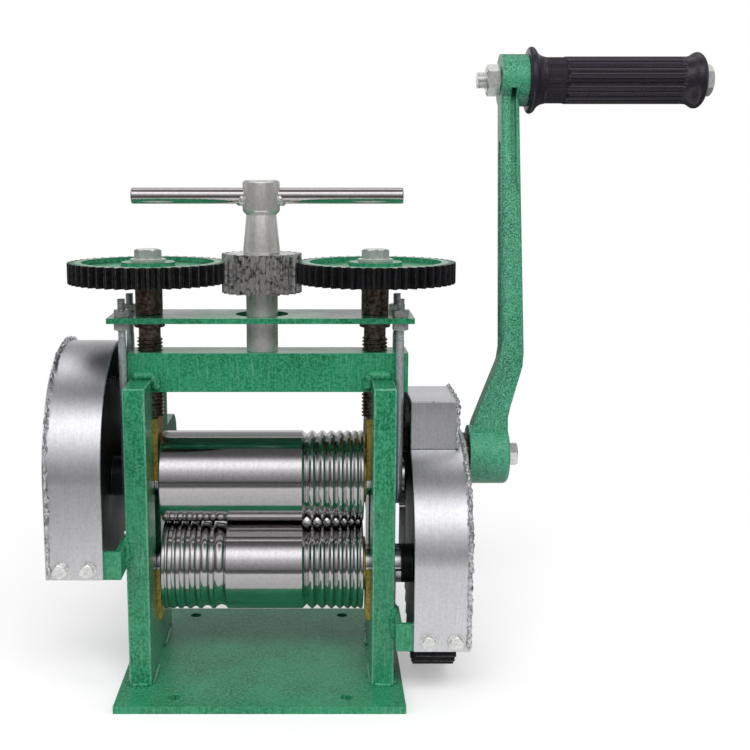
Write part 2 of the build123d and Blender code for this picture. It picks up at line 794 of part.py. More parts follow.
with BuildPart() as handle_grip:
    with BuildSketch(Plane(grip_plane.origin, x_dir=(1, 0, 0), z_dir=(0, -1, 0))) as outline:
        with BuildLine():
            Polyline(
                (grip_inner, grip_bolt_dia / 2 + running_clearance),
                (grip_inner, grip_flange_dia / 2 - 1),
                (grip_inner + 1, grip_flange_dia / 2),
                (grip_inner + grip_flange_thick, grip_flange_dia / 2),
                (grip_inner + grip_flange_thick + 2, grip_flange_dia / 2 - 2),
                (grip_inner + grip_flange_thick + 6, grip_dia / 2),
                (grip_outer - 12, grip_dia / 2),
                (grip_outer - 7, grip_flare_dia / 2),
                (grip_outer - 3, grip_flare_dia / 2),
                (grip_outer, grip_flare_dia / 2 - 3),
                (grip_outer, grip_bolt_dia / 2 + running_clearance),
                close=True,
            )
        make_face()
    revolve(axis=Axis(grip_plane.origin, (1, 0, 0)))
save(handle_grip, "handle_grip")

with BuildPart() as grip_bolt:
    x_bar(grip_bolt_end, grip_outer + end_float, grip_bolt_dia / 2, grip_spot)
    head_inner = grip_outer + end_float
    hexagon_x(head_inner, head_inner + bolt_head_thick, grip_bolt_flats, grip_spot)
save(grip_bolt, "grip_bolt")

with BuildPart() as grip_nut:
    nut_low = arm_inner - grip_nut_thick
    hexagon_x(nut_low, arm_inner, grip_bolt_flats, grip_spot)
    x_bar(nut_low, arm_inner, grip_bolt_dia / 2, grip_spot, Mode.SUBTRACT)
save(grip_nut, "grip_nut")


# ---- Guards: bent sheet along an outline, with a side plate, open below and inboard
def tangent_ends(spot_a, radius_a, spot_b, radius_b):
    """Where the outer tangent over two circles touches each of them, angles from +Y."""
    run = hypot(spot_b[0] - spot_a[0], spot_b[1] - spot_a[1])
    lean = atan2(spot_b[1] - spot_a[1], spot_b[0] - spot_a[0])
    normal = lean + acos((radius_a - radius_b) / run)
    return [
        (spot[0] + radius * cos(normal), spot[1] + radius * sin(normal))
        for spot, radius in ((spot_a, radius_a), (spot_b, radius_b))
    ]


def left_guard_profile(inset):
    """The left guard's side view, moved in by inset, on the plane X = 0."""
    big = left_cover_radius - inset
    small = pinion_guard_radius - inset
    centre = (left_cover_y, left_cover_z)
    leave, arrive = tangent_ends(centre, big, crank_spot, small)
    with BuildSketch(Plane.YZ) as profile:
        with BuildLine():
            Line((centre[0] - big, left_cover_bottom), (centre[0] - big, centre[1]))
            ThreePointArc(
                (centre[0] - big, centre[1]),
                (centre[0] - big * cos(0.9), centre[1] + big * sin(0.9)),
                leave,
            )
            Line(leave, arrive)
            middle = atan2(arrive[1] - crank_axis_z, arrive[0] - crank_axis_y) / 2
            ThreePointArc(
                arrive,
                (crank_axis_y + small * cos(middle), crank_axis_z + small * sin(middle)),
                (crank_axis_y + small, crank_axis_z),
            )
            Line((crank_axis_y + small, crank_axis_z), (crank_axis_y + small, left_cover_bottom))
            Line((crank_axis_y + small, left_cover_bottom), (centre[0] - big, left_cover_bottom))
        make_face()
    return profile.sketch.faces()[0]


def moved_x(face, x):
    return Pos(x, 0, 0) * face


with BuildPart() as left_guard:
    extrude(moved_x(left_guard_profile(0), -cover_outer), amount=cover_outer - cover_inner)
    extrude(
        moved_x(left_guard_profile(sheet), -cover_outer + sheet),
        amount=cover_outer - cover_inner - sheet,
        mode=Mode.SUBTRACT,
    )
    for shift in (-1, 1):
        x = -(cover_inner + cover_outer) / 2 + shift * cover_bolt_spacing / 2
        y_bar(
            left_cover_y - left_cover_radius,
            left_cover_y - left_cover_radius + sheet,
            cover_bolt_dia / 2 + rod_hole_clearance,
            (x, left_cover_bottom + cover_bolt_rise),
            Mode.SUBTRACT,
        )
save(left_guard, "left_gear_guard")

right_centre = (0, right_cover_z)


def right_guard_profile(inset):
    """The right guard's side view round the lower roller's gear, on the plane X = 0."""
    big = right_cover_radius - inset
    with BuildSketch(Plane.YZ) as profile:
        with BuildLine():
            Line((-big, right_cover_bottom), (-big, right_cover_z))
            ThreePointArc((-big, right_cover_z), (0, right_cover_z + big), (big, right_cover_z))
            Line((big, right_cover_z), (big, right_cover_bottom))
            Line((big, right_cover_bottom), (-big, right_cover_bottom))
        make_face()
    return profile.sketch.faces()[0]


def box_profile(inset):
    """The side view of the box that goes over the idler and the crank's pinion."""
    front = -box_front + inset
    top = box_top - inset
    rear = crank_axis_y + pinion_guard_radius - inset
    floor = guard_floor + inset
    idler_y, idler_z = idler_spot
    guard = pinion_guard_radius - inset
    with BuildSketch(Plane.YZ) as profile:
        with BuildLine():
            Polyline(
                (front, floor),
                (front, top),
                (box_rear, top),
                (idler_y + guard * sin(radians(30)), idler_z + guard * cos(radians(30)) + 1),
                (rear - guard * 0.3, crank_axis_z + guard * 0.8),
                (rear, crank_axis_z + guard * 0.3),
                (rear, floor),
                close=True,
            )
        make_face()
    return profile.sketch.faces()[0]


with BuildPart() as right_guard:
    width = cover_outer - cover_inner
    extrude(moved_x(right_guard_profile(0), cover_inner), amount=width)
    hollow = moved_x(right_guard_profile(sheet), cover_inner)
    extrude(hollow, amount=width - sheet, mode=Mode.SUBTRACT)
    block(
        (cover_inner, box_outer),
        (-box_front, right_cover_radius),
        (guard_floor, box_top),
        Mode.SUBTRACT,
    )
    for shift in (-1, 1):
        x = (cover_inner + cover_outer) / 2 + shift * cover_bolt_spacing / 2
        y_bar(
            -right_cover_radius,
            -right_cover_radius + sheet,
            cover_bolt_dia / 2 + rod_hole_clearance,
            (x, right_cover_bottom + cover_bolt_rise),
            Mode.SUBTRACT,
        )
save(right_guard, "right_gear_guard")

with BuildPart() as idler_box:
    width = box_outer - cover_inner
    extrude(moved_x(box_profile(0), cover_inner), amount=width)
    extrude(moved_x(box_profile(sheet), cover_inner), amount=width - sheet, mode=Mode.SUBTRACT)
    extrude(moved_x(right_guard_profile(0), cover_inner), amount=width, mode=Mode.SUBTRACT)
    x_bar(box_outer - sheet, box_outer, crank_shaft_dia / 2 + shaft_way, crank_spot, Mode.SUBTRACT)
save(idler_box, "idler_guard_box")

# ---- Guard brackets and their bolts
for side, sign, front, bottom in (
    ("left", -1, left_cover_y - left_cover_radius, left_cover_bottom),
    ("right", 1, -right_cover_radius, right_cover_bottom),
):
    rail = (bottom - bracket_below, bottom - bracket_below + bracket_height)
    back = front + sheet
    hole_z = bottom + cover_bolt_rise
    washer_face = front - cover_washer_thick
    with BuildPart() as bracket:
        block(
            mirrored(sign, upright_outer, cover_outer - sheet - bracket_edge),
            (back, back + bracket_thick),
            rail,
        )
        block(
            mirrored(sign, upright_outer, upright_outer + bracket_thick),
            (back, -upright_front + bracket_lap),
            rail,
        )
        for shift in (-1, 1):
            x = sign * (cover_inner + cover_outer) / 2 + shift * cover_bolt_spacing / 2
            y_bar(back, back + bracket_thick, cover_bolt_dia / 2, (x, hole_z), Mode.SUBTRACT)
    save(bracket, f"{side}_front_bracket")

    rear_face = crank_axis_y + pinion_guard_radius - sheet
    with BuildPart() as rear_bracket:
        floor = guard_floor + sheet if sign > 0 else guard_floor
        block(
            mirrored(sign, upright_inner, box_outer - sheet),
            (support_rear, rear_face),
            (floor, floor + rear_bracket_height),
        )
    save(rear_bracket, f"{side}_rear_bracket")

    with BuildPart() as cover_bolts:
        for shift in (-1, 1):
            x = sign * (cover_inner + cover_outer) / 2 + shift * cover_bolt_spacing / 2
            bolt_end = back + bracket_thick + cover_bolt_beyond
            y_bar(washer_face, bolt_end, cover_bolt_dia / 2, (x, hole_z))
            with BuildSketch(Plane.XZ.offset(-washer_face)) as head:
                with Locations((x, hole_z)):
                    RegularPolygon(cover_bolt_flats / 2, 6, major_radius=False)
            extrude(amount=cover_head_thick)
    save(cover_bolts, f"{side}_guard_bolts")

    with BuildPart() as cover_washers:
        for shift in (-1, 1):
            x = sign * (cover_inner + cover_outer) / 2 + shift * cover_bolt_spacing / 2
            y_bar(washer_face, front, cover_washer_dia / 2, (x, hole_z))
            y_bar(washer_face, front, cover_bolt_dia / 2, (x, hole_z), Mode.SUBTRACT)
    save(cover_washers, f"{side}_guard_washers")

with BuildPart() as idler_ring:
    span = (idler_end + seat_gap, idler_end + seat_gap + idler_ring_thick)
    x_bar(*span, idler_stud_dia / 2 + shoulder_wall, idler_spot)
    x_bar(*span, idler_stud_dia / 2, idler_spot, Mode.SUBTRACT)
save(idler_ring, "idler_ring")

print("nodes", len(os.listdir("parts")))
print("idler at", idler_spot)
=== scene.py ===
import bmesh
import bpy
import json
import math
import random
from mathutils import Matrix, Vector, noise

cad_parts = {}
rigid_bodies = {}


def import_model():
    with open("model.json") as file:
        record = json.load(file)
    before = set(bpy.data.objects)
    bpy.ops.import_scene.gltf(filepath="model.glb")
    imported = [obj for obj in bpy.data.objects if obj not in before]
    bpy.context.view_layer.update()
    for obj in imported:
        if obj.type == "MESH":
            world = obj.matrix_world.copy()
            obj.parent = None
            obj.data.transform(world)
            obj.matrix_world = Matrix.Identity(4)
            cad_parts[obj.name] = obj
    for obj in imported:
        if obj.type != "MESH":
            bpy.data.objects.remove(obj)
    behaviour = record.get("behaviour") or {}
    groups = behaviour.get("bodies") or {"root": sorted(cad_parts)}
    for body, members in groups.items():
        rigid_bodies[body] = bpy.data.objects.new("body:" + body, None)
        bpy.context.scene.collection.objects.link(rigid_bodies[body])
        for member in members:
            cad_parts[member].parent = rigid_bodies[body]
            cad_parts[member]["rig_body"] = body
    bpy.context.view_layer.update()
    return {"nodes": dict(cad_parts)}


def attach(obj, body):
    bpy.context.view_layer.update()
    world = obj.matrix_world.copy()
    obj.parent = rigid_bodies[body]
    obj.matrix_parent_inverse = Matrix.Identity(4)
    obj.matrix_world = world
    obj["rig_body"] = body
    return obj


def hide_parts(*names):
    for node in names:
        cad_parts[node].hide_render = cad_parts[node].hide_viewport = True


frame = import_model()
scene = bpy.context.scene
scene.view_settings.view_transform = "Standard"
mm = 0.001


def placed(name, data):
    made = bpy.data.objects.new(name, data)
    scene.collection.objects.link(made)
    return made


# Camera, fitted to the photo
cameraSettings = {
    "place": (0.02965, -0.65140, 0.28385),
    "tilt": 79.996,
    "lens": 57.14,
    "shift": 0.0787,
}
camera = placed("camera", bpy.data.cameras.new("camera"))
camera.location = cameraSettings["place"]
camera.rotation_euler = (math.radians(cameraSettings["tilt"]), 0, 0)
camera.data.sensor_width = 36
camera.data.lens = cameraSettings["lens"]
camera.data.shift_x = cameraSettings["shift"]
camera.data.clip_start = 0.01
scene.camera = camera

# Lamps: one long soft box high in front, one weaker on each side and one behind
lampSettings = {
    "key": {"place": (0.05, -1.2, 1.25), "size": (1.3, 0.5), "power": 19.0},
    "left": {"place": (-1.3, -0.6, 0.75), "size": (0.5, 1.0), "power": 5.0},
    "right": {"place": (1.35, -0.5, 0.7), "size": (0.5, 1.0), "power": 4.0},
    "rear": {"place": (0.0, 1.3, 1.2), "size": (1.2, 0.5), "power": 4.0},
}
aim = Vector((0.02, 0.0, 0.14))
for lampName, lamp in lampSettings.items():
    light = bpy.data.lights.new(lampName, "AREA")
    light.shape = "RECTANGLE"
    light.size, light.size_y = lamp["size"]
    light.energy = lamp["power"]
    holder = placed(lampName, light)
    holder.location = lamp["place"]
    holder.visible_glossy = False  # polished metal sees the graded world instead
    holder.rotation_mode = "QUATERNION"
    holder.rotation_quaternion = (aim - holder.location).to_track_quat("-Z", "Y")


# A socket given as a value is linked to the input, and anything else is set as its value
def addNode(tree, kind, inputs=None, **fields):
    node = tree.nodes.new(kind)
    for field, value in fields.items():
        setattr(node, field, value)
    for socket, value in (inputs or {}).items():
        if isinstance(value, bpy.types.NodeSocket):
            tree.links.new(value, node.inputs[socket])
        else:
            node.inputs[socket].default_value = value
    return node


def rampNode(tree, source, stops):
    ramp = addNode(tree, "ShaderNodeValToRGB", {"Fac": source})
    elements = ramp.color_ramp.elements
    for index, (place, colour) in enumerate(stops):
        element = elements[index] if index < 2 else elements.new(place)
        element.position = place
        element.color = (*colour, 1)
    return ramp.outputs["Color"]


def rangeNode(tree, value, source, target=(0.0, 1.0), **fields):
    return addNode(tree, "ShaderNodeMapRange", {
        "Value": value, "From Min": source[0], "From Max": source[1], "To Min": target[0], "To Max": target[1],
    }, **fields).outputs["Result"]


# Stops of a grey ramp, with the blue a little up or down
def greys(stops, blue=1.0):
    return [(place, (tone, tone, tone * blue)) for place, tone in stops]


def blended(tree, mask, first, second, kind="MIX"):
    mix = addNode(tree, "ShaderNodeMix", {0: mask}, data_type="RGBA", blend_type=kind)
    colours = [socket for socket in mix.inputs if socket.type == "RGBA"]
    for socket, value in zip(colours, (first, second)):
        if isinstance(value, bpy.types.NodeSocket):
            tree.links.new(value, socket)
        else:
            socket.default_value = (*value, 1)
    return [socket for socket in mix.outputs if socket.type == "RGBA"][0]


def effectGroup(name, inputs, outputs):
    tree = bpy.data.node_groups.new(name, "ShaderNodeTree")
    for label, kind, value in inputs:
        socket = tree.interface.new_socket(label, in_out="INPUT", socket_type=kind)
        socket.default_value = value
    for label, kind in outputs:
        tree.interface.new_socket(label, in_out="OUTPUT", socket_type=kind)
    return tree, tree.nodes.new("NodeGroupInput"), tree.nodes.new("NodeGroupOutput")


# World: white to the camera and to glass, graded for polished metal, even for everything else.
# The grades run from straight down (0) to straight up (1). The flags darken what lies to the left and right.
worldSettings = {
    "front": (
        (0.0, 0.36), (0.30, 0.34), (0.345, 0.05), (0.474, 0.06), (0.531, 0.16), (0.621, 0.27), (0.703, 0.45),
        (0.745, 0.62), (0.80, 0.92), (0.856, 0.97), (0.887, 0.72), (0.916, 0.37), (0.941, 0.12), (0.97, 0.07),
        (1.0, 0.06),
    ),
    "back": ((0.0, 0.15), (0.49, 0.45), (0.58, 0.50), (0.68, 0.24), (0.86, 0.16), (0.93, 0.62), (1.0, 0.70)),
    "flags": ((0.0, 1.0), (0.42, 1.0), (0.66, 0.45), (0.84, 0.32), (1.0, 0.7)),
    "frontToBack": (-0.05, 0.3),
    "frontBlue": 1.02,
    "evenStrength": 0.56,
    "gradedStrength": 1.65,
}
world = bpy.data.worlds.new("studio")
scene.world = world
world.use_nodes = True
sky = world.node_tree
sky.nodes.clear()
heading = addNode(sky, "ShaderNodeTexCoord").outputs["Generated"]
split = addNode(sky, "ShaderNodeSeparateXYZ", {"Vector": heading})
rise = rangeNode(sky, split.outputs["Z"], (-1.0, 1.0))
front = rampNode(sky, rise, greys(worldSettings["front"], worldSettings["frontBlue"]))
back = rampNode(sky, rise, greys(worldSettings["back"]))
behind = rangeNode(sky, split.outputs["Y"], worldSettings["frontToBack"])
graded = blended(sky, behind, front, back)
aside = addNode(sky, "ShaderNodeMath", {0: split.outputs["X"]}, operation="ABSOLUTE")
flags = rampNode(sky, aside.outputs[0], greys(worldSettings["flags"]))
flagged = addNode(sky, "ShaderNodeVectorMath", {0: graded, 1: flags}, operation="MULTIPLY")
white, even, glossy = (
    addNode(sky, "ShaderNodeBackground", {"Color": colour, "Strength": strength}).outputs[0]
    for colour, strength in (
        ((1, 1, 1, 1), 1.0),
        ((1, 1, 1, 1), worldSettings["evenStrength"]),
        (flagged.outputs[0], worldSettings["gradedStrength"]),
    )
)
ray = addNode(sky, "ShaderNodeLightPath")
seen = addNode(sky, "ShaderNodeMath", {
    0: ray.outputs["Is Camera Ray"], 1: ray.outputs["Is Transmission Ray"],
}, operation="MAXIMUM")
lit = addNode(sky, "ShaderNodeMixShader", {0: ray.outputs["Is Glossy Ray"], 1: even, 2: glossy})
final = addNode(sky, "ShaderNodeMixShader", {0: seen.outputs[0], 1: lit.outputs[0], 2: white})
addNode(sky, "ShaderNodeOutputWorld", {"Surface": final.outputs[0]})
print("stage: world and lamps")

# Effects that several materials share. First, fine irregular flecks and soft patches, as masks
fleckTree, fleckIn, fleckOut = effectGroup(
    "flecks",
    [("Size", "NodeSocketFloat", 900.0), ("Low", "NodeSocketFloat", 0.4), ("High", "NodeSocketFloat", 0.6)],
    [("Mask", "NodeSocketFloat"), ("Patches", "NodeSocketFloat")],
)
where = addNode(fleckTree, "ShaderNodeTexCoord").outputs["Object"]
fine = addNode(fleckTree, "ShaderNodeTexNoise", {
    "Vector": where, "Scale": fleckIn.outputs["Size"], "Detail": 3.0, "Roughness": 0.6,
})
coarse = addNode(fleckTree, "ShaderNodeTexNoise", {"Vector": where, "Scale": 38.0, "Detail": 4.0})
fleck = rangeNode(fleckTree, fine.outputs["Fac"], (fleckIn.outputs["Low"], fleckIn.outputs["High"]))
fleckTree.links.new(fleck, fleckOut.inputs["Mask"])
fleckTree.links.new(coarse.outputs["Fac"], fleckOut.inputs["Patches"])

# Long thin scratches along one direction, with their normals
grainTree, grainIn, grainOut = effectGroup(
    "grain",
    [("Stretch", "NodeSocketVector", (1, 1, 1)), ("Depth", "NodeSocketFloat", 0.1)],
    [("Mask", "NodeSocketFloat"), ("Normal", "NodeSocketVector")],
)
where = addNode(grainTree, "ShaderNodeTexCoord").outputs["Object"]
drawn = addNode(grainTree, "ShaderNodeVectorMath", {0: where, 1: grainIn.outputs["Stretch"]}, operation="MULTIPLY")
lines = addNode(grainTree, "ShaderNodeTexNoise", {
    "Vector": drawn.outputs[0], "Scale": 1.0, "Detail": 5.0, "Roughness": 0.65,
})
bump = addNode(grainTree, "ShaderNodeBump", {
    "Strength": grainIn.outputs["Depth"], "Distance": 0.0002, "Height": lines.outputs["Fac"],
})
grainTree.links.new(lines.outputs["Fac"], grainOut.inputs["Mask"])
grainTree.links.new(bump.outputs["Normal"], grainOut.inputs["Normal"])

# Lumpy skin such as orange peel or castings
skinTree, skinIn, skinOut = effectGroup(
    "skin",
    [("Size", "NodeSocketFloat", 420.0), ("Depth", "NodeSocketFloat", 0.2), ("Height", "NodeSocketFloat", 0.0004)],
    [("Normal", "NodeSocketVector")],
)
where = addNode(skinTree, "ShaderNodeTexCoord").outputs["Object"]
lumps = addNode(skinTree, "ShaderNodeTexNoise", {
    "Vector": where, "Scale": skinIn.outputs["Size"], "Detail": 2.0, "Roughness": 0.5,
})
bump = addNode(skinTree, "ShaderNodeBump", {
    "Strength": skinIn.outputs["Depth"], "Distance": skinIn.outputs["Height"], "Height": lumps.outputs["Fac"],
})
skinTree.links.new(bump.outputs["Normal"], skinOut.inputs["Normal"])


def newMaterial(name):
    made = bpy.data.materials.new(name)
    made.use_nodes = True
    made.node_tree.nodes.clear()
    return made, made.node_tree


def useGroup(tree, group, inputs):
    return addNode(tree, "ShaderNodeGroup", inputs, node_tree=group)


# Roughness that wanders between two values with the soft patches
def patchyRough(tree, flecks, rough):
    return rangeNode(tree, flecks.outputs["Patches"], (0.3, 0.7), rough)


def finishMaterial(tree, inputs):
    shader = addNode(tree, "ShaderNodeBsdfPrincipled", inputs)
    addNode(tree, "ShaderNodeOutputMaterial", {"Surface": shader.outputs[0]})


# Hammered paint: dark to mid patches, light specks, pale streaks and a lumpy skin
def paintMaterial(name, settings):
    made, tree = newMaterial(name)
    flecks = useGroup(tree, fleckTree, {"Size": settings["fleckSize"], "Low": 0.38, "High": 0.66})
    skin = useGroup(tree, skinTree, {
        "Size": settings["skinSize"], "Depth": settings["skinDepth"], "Height": 0.0005,
    })
    streaks = useGroup(tree, grainTree, {"Stretch": settings["streaks"], "Depth": 0.05})
    base = rampNode(tree, flecks.outputs["Patches"], [(0.35, settings["dark"]), (0.65, settings["mid"])])
    speckled = blended(tree, flecks.outputs["Mask"], base, settings["light"])
    weak = rangeNode(tree, streaks.outputs["Mask"], (0.5, 0.72), (0.0, settings["streakAmount"]))
    finishMaterial(tree, {
        "Base Color": blended(tree, weak, speckled, settings["pale"]),
        "Roughness": patchyRough(tree, flecks, settings["rough"]),
        "Specular IOR Level": settings["shine"],
        "Normal": skin.outputs["Normal"],
    })
    return made


framePaint = paintMaterial("frame_paint", {
    "fleckSize": 700.0, "skinSize": 320.0, "skinDepth": 0.30, "streaks": (900, 900, 60), "streakAmount": 0.5,
    "dark": (0.002, 0.110, 0.042), "mid": (0.010, 0.195, 0.088), "light": (0.040, 0.290, 0.145),
    "pale": (0.14, 0.40, 0.26), "rough": (0.16, 0.28), "shine": 0.5,
})
crankPaint = paintMaterial("crank_paint", {
    "fleckSize": 1100.0, "skinSize": 900.0, "skinDepth": 1.0, "streaks": (700, 700, 120), "streakAmount": 0.35,
    "dark": (0.002, 0.090, 0.038), "mid": (0.020, 0.215, 0.108), "light": (0.100, 0.400, 0.250),
    "pale": (0.18, 0.48, 0.35), "rough": (0.16, 0.30), "shine": 0.55,
})
wornPaint = paintMaterial("worn_paint_edge", {
    "fleckSize": 900.0, "skinSize": 500.0, "skinDepth": 0.4, "streaks": (500, 500, 500), "streakAmount": 0.6,
    "dark": (0.012, 0.19, 0.095), "mid": (0.05, 0.29, 0.17), "light": (0.14, 0.40, 0.28),
    "pale": (0.34, 0.50, 0.43), "rough": (0.28, 0.42), "shine": 0.4,
})


# Metal: a colour with stains, drawn grain or a lumpy skin
def metalMaterial(name, settings):
    made, tree = newMaterial(name)
    flecks = useGroup(tree, fleckTree, {
        "Size": settings.get("fleckSize", 600.0), "Low": settings.get("low", 0.42), "High": settings.get("high", 0.7),
    })
    grain = useGroup(tree, grainTree, {
        "Stretch": settings.get("stretch", (300, 300, 300)), "Depth": settings.get("grain", 0.05),
    })
    base = blended(tree, flecks.outputs["Mask"], settings["colour"], settings["stain"])
    tone = rampNode(tree, grain.outputs["Mask"], [
        (0.3, (settings.get("tone", 0.9),) * 3), (0.7, (1.0, 1.0, 1.0)),
    ])
    shade = blended(tree, 1.0, base, tone, "MULTIPLY")
    normal = grain.outputs["Normal"]
    if "skinDepth" in settings:
        skin = useGroup(tree, skinTree, {
            "Size": settings["skinSize"], "Depth": settings["skinDepth"], "Height": 0.0003,
        })
        normal = skin.outputs["Normal"]
    finishMaterial(tree, {
        "Base Color": shade,
        "Metallic": settings.get("metallic", 1.0),
        "Roughness": patchyRough(tree, flecks, settings["rough"]),
        "Normal": normal,
    })
    return made


metals = {
    "roller": {"colour": (0.60, 0.585, 0.59), "stain": (0.53, 0.51, 0.52), "rough": (0.07, 0.13),
               "stretch": (2600, 30, 30), "grain": 0.045, "tone": 0.93},
    "guard": {"colour": (0.97, 0.97, 1.0), "stain": (0.86, 0.85, 0.89), "rough": (0.30, 0.38),
              "stretch": (1500, 70, 70), "grain": 0.22, "tone": 0.86},
    "weld": {"colour": (0.86, 0.86, 0.88), "stain": (0.30, 0.29, 0.30), "rough": (0.26, 0.44),
             "fleckSize": 420.0, "low": 0.56, "high": 0.66, "skinSize": 900.0, "skinDepth": 0.6},
    "zinc": {"colour": (0.95, 0.96, 0.95), "stain": (0.70, 0.70, 0.66), "rough": (0.18, 0.30), "metallic": 0.8,
             "stretch": (400, 400, 400), "grain": 0.10, "tone": 0.9},
    "chrome": {"colour": (0.70, 0.66, 0.67), "stain": (0.60, 0.54, 0.54), "rough": (0.07, 0.15),
               "stretch": (60, 1500, 1500), "grain": 0.05, "tone": 0.94},
    "spindle": {"colour": (0.98, 0.96, 0.94), "stain": (0.84, 0.82, 0.79), "rough": (0.26, 0.38),
                "stretch": (900, 900, 160), "grain": 0.25, "tone": 0.80, "metallic": 0.8},
    "nickel": {"colour": (0.97, 0.95, 0.94), "stain": (0.10, 0.085, 0.08), "rough": (0.16, 0.30), "metallic": 0.92,
               "fleckSize": 420.0, "low": 0.50, "high": 0.64, "skinSize": 800.0, "skinDepth": 0.35},
    "gear": {"colour": (0.010, 0.010, 0.012), "stain": (0.030, 0.030, 0.034), "rough": (0.36, 0.5),
             "metallic": 0.6, "skinSize": 700.0, "skinDepth": 0.3},
    "gear_edge": {"colour": (0.16, 0.16, 0.16), "stain": (0.03, 0.03, 0.03), "rough": (0.32, 0.45),
                  "metallic": 0.8, "low": 0.4, "high": 0.6},
    "gear_rim": {"colour": (0.24, 0.22, 0.19), "stain": (0.09, 0.08, 0.07), "rough": (0.34, 0.5),
                 "metallic": 0.8, "low": 0.38, "high": 0.62},
    "oiled": {"colour": (0.13, 0.10, 0.085), "stain": (0.04, 0.03, 0.024), "rough": (0.30, 0.44),
              "low": 0.4, "high": 0.62, "skinSize": 600.0, "skinDepth": 0.2},
    "thread": {"colour": (0.50, 0.42, 0.37), "stain": (0.13, 0.08, 0.06), "rough": (0.26, 0.40),
               "fleckSize": 500.0, "low": 0.30, "high": 0.62, "stretch": (300, 300, 900), "tone": 0.5},
    "galvanised": {"colour": (0.84, 0.88, 0.90), "stain": (0.58, 0.62, 0.63), "rough": (0.26, 0.40), "metallic": 0.8,
                   "stretch": (900, 900, 60), "grain": 0.15, "tone": 0.85},
    "brass": {"colour": (0.76, 0.55, 0.15), "stain": (0.30, 0.18, 0.045), "rough": (0.34, 0.48),
              "low": 0.46, "high": 0.74, "skinSize": 260.0, "skinDepth": 0.25},
}
metal = {name: metalMaterial(f"{name}_metal", settings) for name, settings in metals.items()}


def rubberMaterial(name, settings):
    made, tree = newMaterial(name)
    flecks = useGroup(tree, fleckTree, {"Size": settings["fleckSize"], "Low": 0.45, "High": 0.75})
    skin = useGroup(tree, skinTree, {"Size": settings["skinSize"], "Depth": 0.15, "Height": 0.0002})
    finishMaterial(tree, {
        "Base Color": blended(tree, flecks.outputs["Mask"], settings["dark"], settings["light"]),
        "Roughness": patchyRough(tree, flecks, settings["rough"]),
        "Normal": skin.outputs["Normal"],
    })
    return made


gripRubber = rubberMaterial("grip_rubber", {
    "fleckSize": 1400.0, "skinSize": 1600.0, "rough": (0.20, 0.32),
    "dark": (0.015, 0.011, 0.018), "light": (0.034, 0.027, 0.040),
})


# Mesh helpers, all in millimetres
def addPiece(name, mesh, materials, body, stands=(), sharp=24.0):
    piece = placed(name, mesh)
    for made in materials:
        mesh.materials.append(made)
    mesh.shade_smooth()
    mesh.set_sharp_from_angle(angle=math.radians(sharp))
    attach(piece, body)
    if stands:
        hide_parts(*stands)


def zincPiece(name, mesh, body, node):
    addPiece(name, mesh, [metal["zinc"]], body, (node,))


# A mesh from points in millimetres, with doubles merged and open ends closed
def meshFrom(name, points, faces, merge=1e-6):
    mesh = bpy.data.meshes.new(name)
    mesh.from_pydata([(x * mm, y * mm, z * mm) for x, y, z in points], [], faces)
    work = bmesh.new()
    work.from_mesh(mesh)
    bmesh.ops.remove_doubles(work, verts=work.verts, dist=merge)
    bmesh.ops.dissolve_degenerate(work, edges=work.edges, dist=merge)
    gaps = [edge for edge in work.edges if edge.is_boundary]
    if gaps:
        bmesh.ops.holes_fill(work, edges=gaps)
    bmesh.ops.recalc_face_normals(work, faces=work.faces)
    work.to_mesh(mesh)
    work.free()
    return mesh


# A point round an axis: spot is (y, z) for axis x, (x, z) for y and (x, y) for z
def onAxis(axis, spot, along, radius, angle):
    u, v = radius * math.cos(angle), radius * math.sin(angle)
    if axis == "x":
        return along, spot[0] + u, spot[1] + v
    if axis == "y":
        return spot[0] + u, along, spot[1] + v
    return spot[0] + u, spot[1] + v, along


def anglesRound(sides):
    return [2 * math.pi * side / sides for side in range(sides)]


# Faces between rows of points, where each row goes round
def rowFaces(rows, sides, closed=False):
    faces = []
    for row in range(rows if closed else rows - 1):
        after = (row + 1) % rows
        for side in range(sides):
            step = (side + 1) % sides
            faces.append((row * sides + side, row * sides + step, after * sides + step, after * sides + side))
    return faces


def latheMesh(name, profile, axis, spot, sides, radiusAt=None, closed=False):
    points = []
    for along, radius in profile:
        for angle in anglesRound(sides):
            here = radiusAt(along, radius, angle) if radiusAt else radius
            points.append(onAxis(axis, spot, along, here, angle))
    return meshFrom(name, points, rowFaces(len(profile), sides, closed))


def rodMesh(axis, spot, low, high, radius, sides):
    return latheMesh("rod", [(low, 0), (low, radius), (high, radius), (high, 0)], axis, spot, sides)


# A washer with its rim chamfered; chamfers are the lengths along the axis at the low and the high face
def washerMesh(axis, spot, low, high, bore, outer, sides=64, chamfers=(0.2, 0.2)):
    rim = outer - 0.2
    return latheMesh("washer", [
        (low, bore), (low, rim), (low + chamfers[0], outer), (high - chamfers[1], outer), (high, rim), (high, bore),
    ], axis, spot, sides, closed=True)


# Rounds the corners of an open line of points that have a number in radius above 0
def rounded(corners, radius, steps=4):
    line = []
    for index, corner in enumerate(corners):
        if index in (0, len(corners) - 1) or radius[index] <= 0:
            line.append(corner)
            continue
        here = Vector(corner)
        before, after = Vector(corners[index - 1]), Vector(corners[index + 1])
        cut = min(radius[index], (before - here).length * 0.45, (after - here).length * 0.45)
        start = here + (before - here).normalized() * cut
        end = here + (after - here).normalized() * cut
        for step in range(steps + 1):
            share = step / steps
            line.append(tuple(start * (1 - share) ** 2 + here * 2 * share * (1 - share) + end * share ** 2))
    return line


